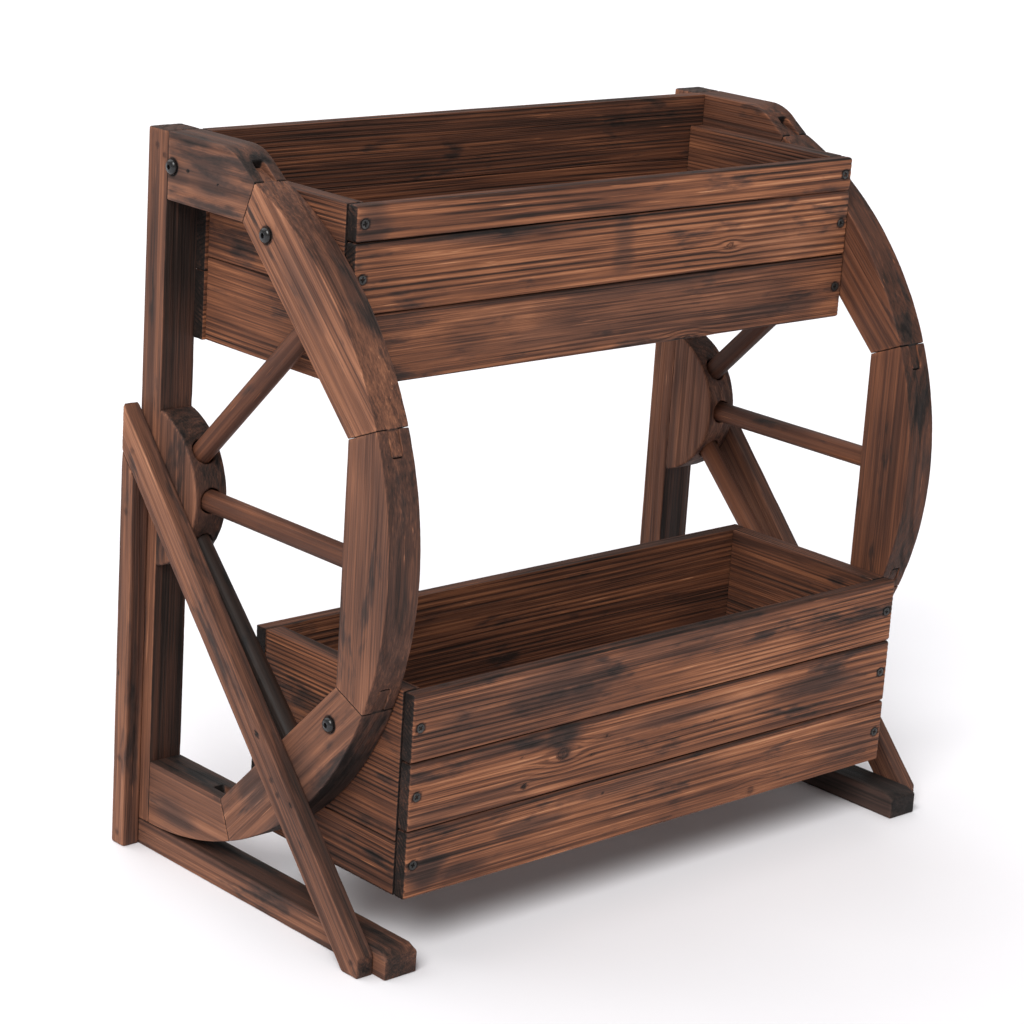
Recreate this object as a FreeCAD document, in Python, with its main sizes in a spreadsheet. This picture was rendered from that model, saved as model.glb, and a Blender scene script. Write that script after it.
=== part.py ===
import FreeCAD, Part
import math
import os

import Sketcher
from FreeCAD import Placement, Rotation, Vector

# Two-tier planter stand. Two half wagon wheels carry two long open boxes, and a post, a foot, a
# rear leg and a diagonal brace hold each wheel upright.
# Millimetres. X runs along the boxes, the front faces -Y, +Z is up. The origin is on the floor,
# under the middle of the stand. "Forward" below is the distance in front of the posts' front face.

# ------------------------------------------------------------------------------------------------
# Driving sizes
# ------------------------------------------------------------------------------------------------
SIZES = [
    # boxes
    ("box_length", 572, "length of both boxes, which is also the space between the wheels"),
    ("board_thick", 13, "front, back and bottom boards"),
    ("board_height", 58, "a full front or back board"),
    ("trim_height", 30, "the narrow board on top of the upper front"),
    ("end_thick", 18, "end boards"),
    ("upper_depth", 202, "upper box, front to back over the boards"),
    ("lower_depth", 202, "lower box, front to back over the boards"),
    ("upper_end_low", 70, "lower end board of the upper box"),
    ("lower_end_low", 46, "lower end board of the lower box"),
    ("cleat_size", 15, "square cleats under the bottom boards"),
    ("bottom_gap", 5, "drain gap between and beside the bottom boards"),
    ("bottom_play", 1, "play at each end of a bottom board"),
    ("drain_dia", 10, "drain holes"),
    ("drain_pitch", 90, "spacing of the drain holes"),
    ("board_ease", 2.4, "rounding round the face of a board"),
    # wheels
    ("wheel_radius", 300, "outside of the rim"),
    ("rim_width", 57, "rim at the middle of a segment"),
    ("rim_thick", 33, "rim, hub, post and foot, side to side"),
    ("rim_fall", 30.8, "end of the uppermost segment's flat top behind its joint"),
    ("rim_shoulder", 45, "rounding at the end of that flat"),
    ("rim_ease", 1.6, "rounding of the rim's long edges"),
    ("tenon_length", 22, "tenons between the rim segments"),
    ("tenon_thick", 11, "slot of such a tenon, side to side"),
    ("tenon_slack", 0.2, "play on each side of a tenon"),
    ("tenon_heel", 8, "tenon's setback from the inner edge of the rim"),
    ("tenon_dip", 1, "tenon's setback from the outer edge of the rim"),
    ("hub_radius", 70, "arc of the hub"),
    ("hub_set", 17, "centre of that arc, behind the front face of the post"),
    ("spoke_dia", 19, "round spokes"),
    ("spoke_slack", 1, "ring of play round a spoke in the hub"),
    ("spoke_start", 40, "inner end of a spoke, from the centre of the wheel"),
    ("spoke_seat", 12, "depth of a spoke's socket in the rim"),
    # frame
    ("post_depth", 28, "post, front to back"),
    ("foot_height", 23, "foot beam"),
    ("foot_nose", 22, "foot beam in front of the rim"),
    ("foot_bevel_run", 10, "bevel on the tip of the foot, along the foot"),
    ("foot_bevel_drop", 4, "the same bevel, downwards"),
    ("stick_thick", 17, "rear leg and brace, side to side"),
    ("leg_depth", 18, "rear leg, front to back"),
    ("leg_overhang", 2, "rear leg behind the post"),
    ("brace_width", 27, "brace, square to its length"),
    ("brace_top", 392, "top corner of the brace above the floor"),
    ("brace_toe", 15, "tip of the brace behind the tip of the foot"),
    ("brace_nose", 18, "height of the brace's blunt tip"),
    ("stick_ease", 2, "rounding of the post, foot, leg and brace"),
    # fasteners
    ("bolt_dia", 6, "wheel bolts and lag screws"),
    ("bolt_slack", 0.2, "play round a bolt in the wood"),
    ("bolt_head_dia", 13, "their button heads"),
    ("bolt_head_rise", 4, "height of those heads"),
    ("bolt_socket", 4, "hexagon socket across its flats"),
    ("bolt_tail", 2, "bolt past its nut"),
    ("nut_flats", 10, "nut across its flats"),
    ("nut_rise", 5, "height of the nut"),
    ("lag_bite", 35, "lag screw in the upper back board"),
    ("bolt_edge", 27, "wheel bolt's centre from the outside of the rim"),
    ("bolt_upper_angle", 61, "upper bolt above the middle spoke, in degrees"),
    ("bolt_lower_angle", 29.4, "lower bolt, from which the lower box hangs, below that spoke"),
    ("bolt_lower_drop", 37, "lower bolt below the top of the lower box"),
    ("screw_dia", 3.6, "box screws"),
    ("screw_head_dia", 7.4, "their countersunk heads"),
    ("screw_length", 40, "box screws"),
    ("screw_cross", 1.6, "depth of the cross in their heads"),
    ("nail_dia", 3, "frame nails"),
    ("nail_length", 30, "frame nails"),
    ("nail_sink", 1, "nail head below the wood"),
    ("nail_pair", 9, "spacing of the two nails where the brace crosses the rim"),
    ("leg_nail_low", 80, "lower nail of the rear leg above the floor"),
    ("leg_nail_drop", 92, "upper nail of the rear leg below the brace's top corner"),
    ("toe_nail", 8, "nail of the foot behind the brace's tip"),
    ("crown_nail_back", 15, "rear nail of the post's top behind its front face"),
    ("crown_nail_front", 5, "front nail of the post's top behind its front face"),
    ("crown_nail_high", 14, "rear nail below the post's top"),
    ("crown_nail_low", 21, "front nail below the post's top"),
]

doc = FreeCAD.newDocument("flower_cart_stand")
sheet = doc.addObject("Spreadsheet::Sheet", "dim")
for row, (alias, value, note) in enumerate(SIZES, 1):
    sheet.set(f"A{row}", str(value))
    sheet.setAlias(f"A{row}", alias)
    sheet.set(f"B{row}", note)
doc.recompute()

# ------------------------------------------------------------------------------------------------
# Places that several pieces share, as expressions of the sizes above
# ------------------------------------------------------------------------------------------------
EIGHTH = 22.5                                    # half the angle of one rim segment, degrees
BOLT_HOLE = "(dim.bolt_dia / 2 + dim.bolt_slack)"
HALF = "(dim.box_length / 2)"
TOP = "(dim.foot_height + 2 * dim.wheel_radius)"
HUB_Z = "(dim.foot_height + dim.wheel_radius)"
REAR = "(dim.post_depth + dim.leg_overhang)"
FRONT = "(dim.wheel_radius + dim.foot_nose)"
POST_Y = f"(({FRONT} - {REAR}) / 2)"
LAYER_X = f"({HALF} + dim.rim_thick / 2)"
STICK_X = f"({HALF} + dim.rim_thick + dim.stick_thick / 2)"

RIM_IN = "(dim.wheel_radius - dim.rim_width)"
RIM_CORNER = f"({RIM_IN} / cos({EIGHTH}))"
PAST = 10                                        # cutting outlines run this far past the wood
RIM_BLANK = f"(dim.wheel_radius / cos({EIGHTH}) + {PAST})"
RIM_FLAT = f"(dim.wheel_radius * cos({3 * EIGHTH}) - dim.rim_fall)"
BOLT_R = "(dim.wheel_radius - dim.bolt_edge)"

TOE = f"({FRONT} - dim.brace_toe)"
SLOPE = f"((dim.brace_top - dim.brace_nose) / ({TOE} + {REAR}))"
BRACE_FALL = f"(dim.brace_width * sqrt(1 + {SLOPE} * {SLOPE}))"


def brace_low(forward):
    """Height of the brace's lower edge at a distance in front of the post."""
    return f"(dim.brace_top - {BRACE_FALL} - {SLOPE} * ({REAR} + {forward}))"


def brace_mid(forward):
    return f"({brace_low(forward)} + {BRACE_FALL} / 2)"


UPPER_BASE = f"({TOP} - 3 * dim.board_height)"
UPPER_RISE = "(2 * dim.board_height + dim.trim_height)"
LOWER_RISE = "(3 * dim.board_height)"
LOWER_BOLT_Z = f"({HUB_Z} - {BOLT_R} * sin(dim.bolt_lower_angle))"
LOWER_BASE = f"({LOWER_BOLT_Z} + dim.bolt_lower_drop - {LOWER_RISE})"
LOWER_BACK = "(dim.wheel_radius - dim.lower_depth)"

LAG_AT = ("dim.board_thick / 2", f"({TOP} - dim.rim_width / 2)")
UPPER_BOLT_AT = (
    f"({BOLT_R} * cos(dim.bolt_upper_angle))",
    f"({HUB_Z} + {BOLT_R} * sin(dim.bolt_upper_angle))",
)
LOWER_BOLT_AT = (f"({BOLT_R} * cos(dim.bolt_lower_angle))", LOWER_BOLT_Z)

# Nails, as (forward, height), all driven in from the outer side.
LEG_NAIL = "(dim.leg_depth / 2 - " + REAR + ")"
CROSS = f"(({BOLT_R}) * cos(45))"                # where the brace crosses the middle of the rim
NAILS_LEG_POST = [(LEG_NAIL, "dim.leg_nail_low"), (LEG_NAIL, "(dim.brace_top - dim.leg_nail_drop)")]
NAILS_LEG_FOOT = [(LEG_NAIL, "dim.foot_height / 2")]
NAILS_BRACE_POST = [("-dim.post_depth / 2", brace_mid("-dim.post_depth / 2"))]
NAILS_BRACE_RIM = [(f"({CROSS} + {s} dim.nail_pair / 2)",
                    brace_mid(f"({CROSS} + {s} dim.nail_pair / 2)")) for s in ("-", "")]
NAILS_BRACE_FOOT = [(f"({TOE} - dim.toe_nail)", "dim.foot_height / 2")]
NAILS_POST = [("-dim.crown_nail_back", f"({TOP} - dim.crown_nail_high)"),
              ("-dim.crown_nail_front", f"({TOP} - dim.crown_nail_low)")]
STICK_BITE = "(dim.nail_length + dim.nail_sink - dim.stick_thick)"
POST_BITE = "(dim.nail_length + dim.nail_sink)"


def val(expression):
    """Number that an expression gives with the present sizes."""
    found = sheet.evalExpression(str(expression).lstrip("="))
    return float(getattr(found, "Value", found))


# ------------------------------------------------------------------------------------------------
# Modelling helpers
# ------------------------------------------------------------------------------------------------
PIECES = []


def body(label, keep=True):
    made = doc.addObject("PartDesign::Body", label)
    made.Label = label
    if keep:
        PIECES.append(made)
    return made


def place(obj, x="0", forward="0", z="0", turn=None):
    """Put a piece at X, at a distance in front of the posts, and at a height."""
    if turn:
        obj.Placement = Placement(Vector(), turn)
    obj.setExpression("Placement.Base.x", x)
    obj.setExpression("Placement.Base.y", f"{POST_Y} - ({forward})")
    obj.setExpression("Placement.Base.z", z)


def sketch(owner, role, name, offset=None):
    made = owner.newObject("Sketcher::SketchObject", f"{owner.Label}_{name}")
    plane = [f for f in owner.Origin.OriginFeatures if f.Role == role][0]
    made.AttachmentSupport = [(plane, "")]
    made.MapMode = "FlatFace"
    if offset:
        made.setExpression("AttachmentOffset.Base.z", offset)
    return made


def polygon(sk, corners):
    """Closed outline whose corners are pairs of expressions."""
    at = [Vector(val(a), val(b), 0) for a, b in corners]
    count = len(corners)
    first = sk.GeometryCount
    for i in range(count):
        sk.addGeometry(Part.LineSegment(at[i], at[(i + 1) % count]), False)
    for i in range(count):
        follower = first + (i + 1) % count
        sk.addConstraint(Sketcher.Constraint("Coincident", first + i, 2, follower, 1))
    for i, (a, b) in enumerate(corners):
        for kind, expression in (("DistanceX", a), ("DistanceY", b)):
            number = sk.addConstraint(
                Sketcher.Constraint(kind, -1, 1, first + i, 1, val(expression)))
            sk.setExpression(f"Constraints[{number}]", expression)


def circle(sk, a, b, radius):
    """Circle whose centre and radius are expressions."""
    index = sk.addGeometry(Part.Circle(Vector(val(a), val(b), 0), Vector(0, 0, 1), val(radius)))
    for kind, expression in (("DistanceX", a), ("DistanceY", b)):
        number = sk.addConstraint(Sketcher.Constraint(kind, -1, 1, index, 3, val(expression)))
        sk.setExpression(f"Constraints[{number}]", expression)
    number = sk.addConstraint(Sketcher.Constraint("Radius", index, val(radius)))
    sk.setExpression(f"Constraints[{number}]", radius)


def pad(owner, sk, length, both=False):
    made = owner.newObject("PartDesign::Pad", f"{sk.Label}_pad")
    made.Profile = sk
    made.setExpression("Length", length)
    if both:
        made.SideType = "Symmetric"
    sk.Visibility = False
    return made


def pocket(owner, sk, length=None, both=False, reverse=False):
    """Cut to a depth, or right through when no length is given."""
    made = owner.newObject("PartDesign::Pocket", f"{sk.Label}_cut")
    made.Profile = sk
    if length is None:
        made.Type = "ThroughAll"
        made.SideType = "Symmetric"
    else:
        made.Type = "Length"
        made.setExpression("Length", length)
        if both:
            made.SideType = "Symmetric"
    made.Reversed = reverse
    return made


def ease(owner, radius, wanted, name="ease"):
    """Round the edges that wanted(edge, midpoint) accepts."""
    doc.recompute()
    tip = owner.Tip
    names = []
    for number, edge in enumerate(tip.Shape.Edges, 1):
        if wanted(edge, edge.valueAt((edge.FirstParameter + edge.LastParameter) / 2)):
            names.append(f"Edge{number}")
    made = owner.newObject("PartDesign::Fillet", f"{owner.Label}_{name}")
    made.Base = (tip, names)
    made.setExpression("Radius", radius)
    return made


def near(a, b, gap=0.01):
    return abs(a - b) < gap


def cross_holes(owner, name, spots, radius, shift_forward="0", shift_up="0"):
    """Holes right through along X. Spots are (forward, height) in the stand's frame."""
    sk = sketch(owner, "YZ_Plane", name)
    for forward, height in spots:
        circle(sk, f"-(({forward}) - ({shift_forward}))", f"({height}) - ({shift_up})", radius)
    pocket(owner, sk)


def side_bores(owner, name, spots, side, thick, depth, shift_forward="0", shift_up="0"):
    """Blind bores along X from the outer face, which is on the side +1 or -1."""
    sk = sketch(owner, "YZ_Plane", name, f"{side} * {thick} / 2")
    for forward, height in spots:
        circle(sk, f"-(({forward}) - ({shift_forward}))", f"({height}) - ({shift_up})",
               "dim.nail_dia / 2")
    pocket(owner, sk, depth, reverse=side < 0)


# ------------------------------------------------------------------------------------------------
# Frame: foot, post, rear leg and brace
# ------------------------------------------------------------------------------------------------
def foot(name, side):
    it = body(name)
    sk = sketch(it, "YZ_Plane", "side")
    polygon(sk, [
        ("dim.post_depth", "0"),
        (f"-{FRONT}", "0"),
        (f"-{FRONT}", "dim.foot_height - dim.foot_bevel_drop"),
        (f"-{FRONT} + dim.foot_bevel_run", "dim.foot_height"),
        ("dim.post_depth", "dim.foot_height"),
    ])
    pad(it, sk, "dim.rim_thick", both=True)
    half, top = val("dim.rim_thick") / 2, val("dim.foot_height")
    reach = val(FRONT)
    ease(it, "dim.stick_ease", lambda e, m: near(abs(m.x), half) and m.z > 1 and m.y > -reach + 0.1
         and m.y < val("dim.post_depth") - 1 or near(m.z, top) and near(m.y, -reach + val(
             "dim.foot_bevel_run")))
    side_bores(it, "bores", NAILS_LEG_FOOT + NAILS_BRACE_FOOT, side, "dim.rim_thick", STICK_BITE)
    place(it, f"{side} * {LAYER_X}")
    return it


def post(name, side):
    it = body(name)
    sk = sketch(it, "YZ_Plane", "side")
    rise = f"({TOP} - dim.foot_height)"
    polygon(sk, [("0", "0"), ("dim.post_depth", "0"), ("dim.post_depth", rise), ("0", rise)])
    pad(it, sk, "dim.rim_thick", both=True)
    half, depth, top = val("dim.rim_thick") / 2, val("dim.post_depth"), val(rise)
    ease(it, "dim.stick_ease", lambda e, m: near(abs(m.x), half) and (
        near(m.y, depth) or near(m.z, top)) or near(m.z, top) and near(m.y, depth))
    up = "dim.foot_height"
    side_bores(it, "bores", NAILS_LEG_POST + NAILS_BRACE_POST, side, "dim.rim_thick", STICK_BITE,
               shift_up=up)
    side_bores(it, "top_bores", NAILS_POST, side, "dim.rim_thick", POST_BITE, shift_up=up)
    place(it, f"{side} * {LAYER_X}", z=up)
    return it


def rear_leg(name, side):
    it = body(name)
    sk = sketch(it, "YZ_Plane", "side")
    fore = f"({REAR} - dim.leg_depth)"
    polygon(sk, [
        (fore, "0"), (REAR, "0"), (REAR, brace_low(f"(-{REAR})")), (fore, brace_low(f"(-{fore})")),
    ])
    pad(it, sk, "dim.stick_thick", both=True)
    half = val("dim.stick_thick") / 2
    ease(it, "dim.stick_ease", lambda e, m: near(m.x, side * half) and 5 < m.z < val(
        brace_low(f"(-{fore})")) - 1 or near(m.x, -side * half) and near(m.y, val(REAR)) and m.z > 5)
    cross_holes(it, "holes", NAILS_LEG_POST + NAILS_LEG_FOOT, "dim.nail_dia / 2")
    place(it, f"{side} * {STICK_X}")
    return it


def brace(name, side):
    it = body(name)
    sk = sketch(it, "YZ_Plane", "side")
    polygon(sk, [
        (REAR, "dim.brace_top"),
        (f"-{TOE}", "dim.brace_nose"),
        (f"-{TOE}", "0"),
        (f"-(({TOE}) - (dim.brace_width * sqrt(1 + 1 / ({SLOPE} * {SLOPE})) - dim.brace_nose / "
         f"{SLOPE}))", "0"),
        (REAR, brace_low(f"(-{REAR})")),
    ])
    pad(it, sk, "dim.stick_thick", both=True)
    half, toe, rear = val("dim.stick_thick") / 2, val(TOE), val(REAR)
    ease(it, "dim.stick_ease", lambda e, m: near(abs(m.x), half) and m.z > 1 and m.y > -toe + 0.1
         and m.y < rear - 0.1 or near(m.x, side * half) and (near(m.y, rear) or near(m.y, -toe)))
    cross_holes(it, "holes", NAILS_BRACE_POST + NAILS_BRACE_RIM + NAILS_BRACE_FOOT,
                "dim.nail_dia / 2")
    place(it, f"{side} * {STICK_X}")
    return it


# ------------------------------------------------------------------------------------------------
# Wheel: hub, spokes and five rim segments, joined by tenons in open slots
# ------------------------------------------------------------------------------------------------
def polar(radius, angle):
    """Sketch point at a radius and an angle above straight ahead."""
    return f"-({radius}) * cos({angle})", f"({radius}) * sin({angle})"


def joint_box(angle, toward, inner, outer, length):
    """Rectangle on a joint line, which runs along the rim to one side of the joint."""
    def corner(radius, run):
        return (f"-({radius}) * cos({angle}) + {toward} * ({run}) * sin({angle})",
                f"({radius}) * sin({angle}) + {toward} * ({run}) * cos({angle})")
    return [corner(inner, "0"), corner(outer, "0"), corner(outer, length), corner(inner, length)]


def add_slot(it, angle, toward):
    sk = sketch(it, "YZ_Plane", "slot_up" if toward > 0 else "slot_down")
    polygon(sk, joint_box(angle, toward, f"{RIM_CORNER} - dim.tenon_length",
                          f"{RIM_BLANK} + {PAST}", "dim.tenon_length + dim.tenon_slack"))
    pocket(it, sk, "dim.tenon_thick", both=True)


def add_tenon(it, angle, toward):
    sk = sketch(it, "YZ_Plane", "tenon_up" if toward > 0 else "tenon_down")
    outer = "dim.wheel_radius - dim.tenon_dip"
    polygon(sk, joint_box(angle, toward, f"{RIM_CORNER} + dim.tenon_heel", outer,
                          "dim.tenon_length"))
    pad(it, sk, "dim.tenon_thick - 2 * dim.tenon_slack", both=True)


def socket(it, name, angle, start, length, radius):
    """Round socket along a spoke, from a distance from the wheel's centre."""
    hole = it.newObject("PartDesign::SubtractiveCylinder", f"{it.Label}_{name}")
    hole.Placement = Placement(Vector(), Rotation(Vector(1, 0, 0), 90 - angle))
    hole.setExpression("Radius", radius)
    hole.setExpression("Height", length)
    hole.setExpression("Placement.Base.y", f"-({start}) * cos({angle})")
    hole.setExpression("Placement.Base.z", f"({start}) * sin({angle})")


def rim_segment(name, side, middle, tenons):
    """Segment with a round outside; middle is the angle of its centre."""
    it = body(name)
    low, high = middle - EIGHTH, middle + EIGHTH
    sk = sketch(it, "YZ_Plane", "blank")
    polygon(sk, [polar(RIM_CORNER, low), polar(RIM_BLANK, low), polar(RIM_BLANK, high),
                 polar(RIM_CORNER, high)])
    pad(it, sk, "dim.rim_thick", both=True)
    round_outside(it)
    half = val("dim.rim_thick") / 2
    ease(it, "dim.rim_ease", lambda e, m: near(abs(m.x), half) and abs(
        math.degrees(math.atan2(m.z, -m.y)) - middle) < EIGHTH - 2)
    for angle, toward in ((high, 1), (low, -1)):
        if tenons:
            add_tenon(it, angle, toward)
        else:
            add_slot(it, angle, -toward)
    socket(it, "socket", middle, f"{RIM_IN} - {PAST}", f"dim.spoke_seat + {PAST}",
           "dim.spoke_dia / 2")
    place(it, f"{side} * {LAYER_X}", z=HUB_Z)
    return it


def round_outside(it):
    sk = sketch(it, "YZ_Plane", "outside")
    circle(sk, "0", "0", "dim.wheel_radius")
    circle(sk, "0", "0", f"{RIM_BLANK} / cos({EIGHTH}) + {PAST}")
    pocket(it, sk)


def top_segment(name, side):
    """Uppermost segment, with its flat top, which butts on the post."""
    it = body(name)
    joint = 3 * EIGHTH
    sk = sketch(it, "YZ_Plane", "blank")
    polygon(sk, [("0", RIM_IN), polar(RIM_CORNER, joint), polar("dim.wheel_radius", joint),
                 (f"-{RIM_FLAT}", "dim.wheel_radius"), ("0", "dim.wheel_radius")])
    pad(it, sk, "dim.rim_thick", both=True)
    flat = val(RIM_FLAT)
    ease(it, "dim.rim_shoulder", lambda e, m: near(m.y, -flat) and near(m.x, 0), "shoulder")
    half = val("dim.rim_thick") / 2
    ease(it, "dim.rim_ease", lambda e, m: near(abs(m.x), half) and 3 * EIGHTH + 1 < math.degrees(
        math.atan2(m.z, -m.y)) < 89)
    add_slot(it, joint, 1)
    cross_holes(it, "lag_hole", [LAG_AT], BOLT_HOLE, shift_up=HUB_Z)
    place(it, f"{side} * {LAYER_X}", z=HUB_Z)
    return it


def bottom_segment(name, side):
    """Lowest segment, which butts on the post and rests on the foot."""
    it = body(name)
    joint = -3 * EIGHTH
    sk = sketch(it, "YZ_Plane", "blank")
    polygon(sk, [("0", f"-{RIM_IN}"), polar(RIM_CORNER, joint), polar(RIM_BLANK, joint),
                 ("0", polar(RIM_BLANK, joint)[1])])
    pad(it, sk, "dim.rim_thick", both=True)
    round_outside(it)
    half = val("dim.rim_thick") / 2
    ease(it, "dim.rim_ease", lambda e, m: near(abs(m.x), half) and -89 < math.degrees(
        math.atan2(m.z, -m.y)) < -3 * EIGHTH - 1)
    add_slot(it, joint, -1)
    place(it, f"{side} * {LAYER_X}", z=HUB_Z)
    return it


SPOKES = (("upper", 45), ("middle", 0), ("lower", -45))


def hub(name, side):
    """Half-round block on the front face of the post."""
    it = body(name)
    sk = sketch(it, "YZ_Plane", "disc")
    circle(sk, "dim.hub_set", "0", "dim.hub_radius")
    pad(it, sk, "dim.rim_thick", both=True)
    sk = sketch(it, "YZ_Plane", "flat")
    big = "2 * dim.hub_radius"
    polygon(sk, [("0", f"-{big}"), (big, f"-{big}"), (big, big), ("0", big)])
    pocket(it, sk)
    half = val("dim.rim_thick") / 2
    ease(it, "dim.stick_ease", lambda e, m: near(abs(m.x), half) and m.y < -5)
    for which, angle in SPOKES:
        socket(it, which, angle, "dim.spoke_start", "dim.hub_radius",
               "dim.spoke_dia / 2 + dim.spoke_slack")
    place(it, f"{side} * {LAYER_X}", z=HUB_Z)
    return it


def spoke(name, side, angle):
    it = body(name)
    sk = sketch(it, "XY_Plane", "round")
    circle(sk, "0", "0", "dim.spoke_dia / 2")
    pad(it, sk, f"{RIM_IN} + dim.spoke_seat - dim.spoke_start")
    place(it, f"{side} * {LAYER_X}", f"dim.spoke_start * cos({angle})",
          f"{HUB_Z} + dim.spoke_start * sin({angle})", Rotation(Vector(1, 0, 0), 90 - angle))
    return it


# ------------------------------------------------------------------------------------------------
# Boxes
# ------------------------------------------------------------------------------------------------
SCREW_X = f"({HALF} - dim.end_thick / 2)"


def long_board(name, height, z, forward, outward, screw_up, lag=False):
    """Front or back board. Forward is its inner face; outward is +1 at the front, -1 behind."""
    it = body(name)
    sk = sketch(it, "XZ_Plane", "face")
    polygon(sk, [(f"-{HALF}", "0"), (HALF, "0"), (HALF, height), (f"-{HALF}", height)])
    pad(it, sk, "dim.board_thick")
    face = -val("dim.board_thick")
    ease(it, "dim.board_ease", lambda e, m: near(m.y, face))
    doc.recompute()
    sk = sketch(it, "XZ_Plane", "screws", "dim.board_thick")
    for sign in ("-", ""):
        circle(sk, f"{sign}{SCREW_X}", screw_up, "dim.screw_dia / 2")
    doc.recompute()
    hole = it.newObject("PartDesign::Hole", f"{name}_holes")
    hole.Profile = sk
    doc.recompute()
    hole.ThreadType = "None"
    hole.DepthType = "ThroughAll"
    hole.HoleCutType = "Countersink"
    hole.HoleCutCountersinkAngle = 90
    hole.setExpression("Diameter", "dim.screw_dia")
    hole.setExpression("HoleCutDiameter", "dim.screw_head_dia")
    if lag:
        # the lag screws of the two wheels enter the end grain
        for side in (1, -1):
            sk = sketch(it, "YZ_Plane", "lag_right" if side > 0 else "lag_left",
                        f"{side} * {HALF}")
            circle(sk, "-dim.board_thick / 2", f"{LAG_AT[1]} - ({z})", "dim.bolt_dia / 2")
            pocket(it, sk, "dim.lag_bite", reverse=side < 0)
    turn = None if outward > 0 else Rotation(Vector(0, 0, 1), 180)
    place(it, "0", forward, z, turn)
    return it


def end_board(name, side, depth, back, base, height, screws, bolt=None):
    """End board between the front and back boards. Screws are heights above its base."""
    it = body(name)
    span = f"(({depth}) / 2 - dim.board_thick)"
    middle = f"(({back}) + ({depth}) / 2)"
    sk = sketch(it, "YZ_Plane", "face")
    polygon(sk, [(f"-{span}", "0"), (span, "0"), (span, height), (f"-{span}", height)])
    pad(it, sk, "dim.end_thick", both=True)
    half, top = val("dim.end_thick") / 2, val(height)
    ease(it, "dim.rim_ease", lambda e, m: near(abs(m.x), half) and near(m.z, top))
    for end in (1, -1):
        sk = sketch(it, "XZ_Plane", "front_bores" if end > 0 else "back_bores", f"{end} * {span}")
        for up in screws:
            circle(sk, "0", up, "dim.screw_dia / 2")
        pocket(it, sk, "dim.screw_length - dim.board_thick", reverse=end < 0)
    if bolt:
        cross_holes(it, "bolt_hole", [bolt], BOLT_HOLE, middle, base)
    place(it, f"{side} * ({HALF} - dim.end_thick / 2)", middle, base)
    return it


def bottom_board(name, depth, back, base, rank):
    """One of two bottom boards; rank 0 is the back one. It lies on the cleats."""
    it = body(name)
    reach = f"({HALF} - dim.end_thick - dim.bottom_play)"
    width = f"((({depth}) - 2 * dim.board_thick - 3 * dim.bottom_gap) / 2)"
    sk = sketch(it, "XY_Plane", "face")
    polygon(sk, [(f"-{reach}", f"-{width} / 2"), (reach, f"-{width} / 2"),
                 (reach, f"{width} / 2"), (f"-{reach}", f"{width} / 2")])
    pad(it, sk, "dim.board_thick")
    sk = sketch(it, "XY_Plane", "drains")
    for step in (-2, -1, 0, 1, 2):
        circle(sk, f"{step} * dim.drain_pitch", "0", "dim.drain_dia / 2")
    pocket(it, sk)
    middle = (f"({back}) + dim.board_thick + dim.bottom_gap + {width} / 2 + {rank} * "
              f"({width} + dim.bottom_gap)")
    place(it, "0", middle, f"{base} + dim.cleat_size")
    return it


def cleat(name, side, depth, back, base):
    it = body(name)
    span = f"(({depth}) / 2 - dim.board_thick)"
    sk = sketch(it, "YZ_Plane", "face")
    polygon(sk, [(f"-{span}", "0"), (span, "0"), (span, "dim.cleat_size"),
                 (f"-{span}", "dim.cleat_size")])
    pad(it, sk, "dim.cleat_size", both=True)
    place(it, f"{side} * ({HALF} - dim.end_thick - dim.cleat_size / 2)",
          f"({back}) + ({depth}) / 2", base)
    return it


# ------------------------------------------------------------------------------------------------
# Fasteners: one profile each, turned about Z with the head up at z = 0
# ------------------------------------------------------------------------------------------------
def turned(label, outline):
    it = body(label, keep=False)
    sk = sketch(it, "XZ_Plane", "profile")
    polygon(sk, outline)
    spin = it.newObject("PartDesign::Revolution", f"{label}_turned")
    spin.Profile = sk
    spin.ReferenceAxis = (sk, ["V_Axis"])
    spin.Angle = 360
    return it


def button_bolt(label, length):
    it = turned(label, [
        ("0", f"-({length})"), ("dim.bolt_dia / 2", f"-({length})"), ("dim.bolt_dia / 2", "0"),
        ("dim.bolt_head_dia / 2", "0"),
        ("dim.bolt_head_dia / 2", "dim.bolt_head_rise / 4"),
        ("dim.bolt_head_dia * 0.44", "dim.bolt_head_rise * 0.6"),
        ("dim.bolt_head_dia * 0.33", "dim.bolt_head_rise * 0.86"),
        ("dim.bolt_head_dia * 0.2", "dim.bolt_head_rise"), ("0", "dim.bolt_head_rise"),
    ])
    sk = sketch(it, "XY_Plane", "hexagon", "dim.bolt_head_rise")
    across = "dim.bolt_socket / (2 * cos(30))"
    polygon(sk, [(f"{across} * cos({60 * k})", f"{across} * sin({60 * k})") for k in range(6)])
    pocket(it, sk, "dim.bolt_head_rise / 2")
    return it


def scatter(label, master, spots):
    """Copies of one fastener, at (x, forward, z) with the head toward the given direction."""
    doc.recompute()
    copies = []
    for x, forward, z, toward in spots:
        turn = Rotation(Vector(0, 0, 1), toward)
        one = master.Shape.copy()
        one.Placement = Placement(Vector(val(x), val(POST_Y) - val(forward), val(z)), turn)
        copies.append(one)
    made = doc.addObject("Part::Feature", label)
    made.Label = label
    made.Shape = Part.makeCompound(copies)
    made.Placement = Placement()
    PIECES.append(made)
    return made


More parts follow.
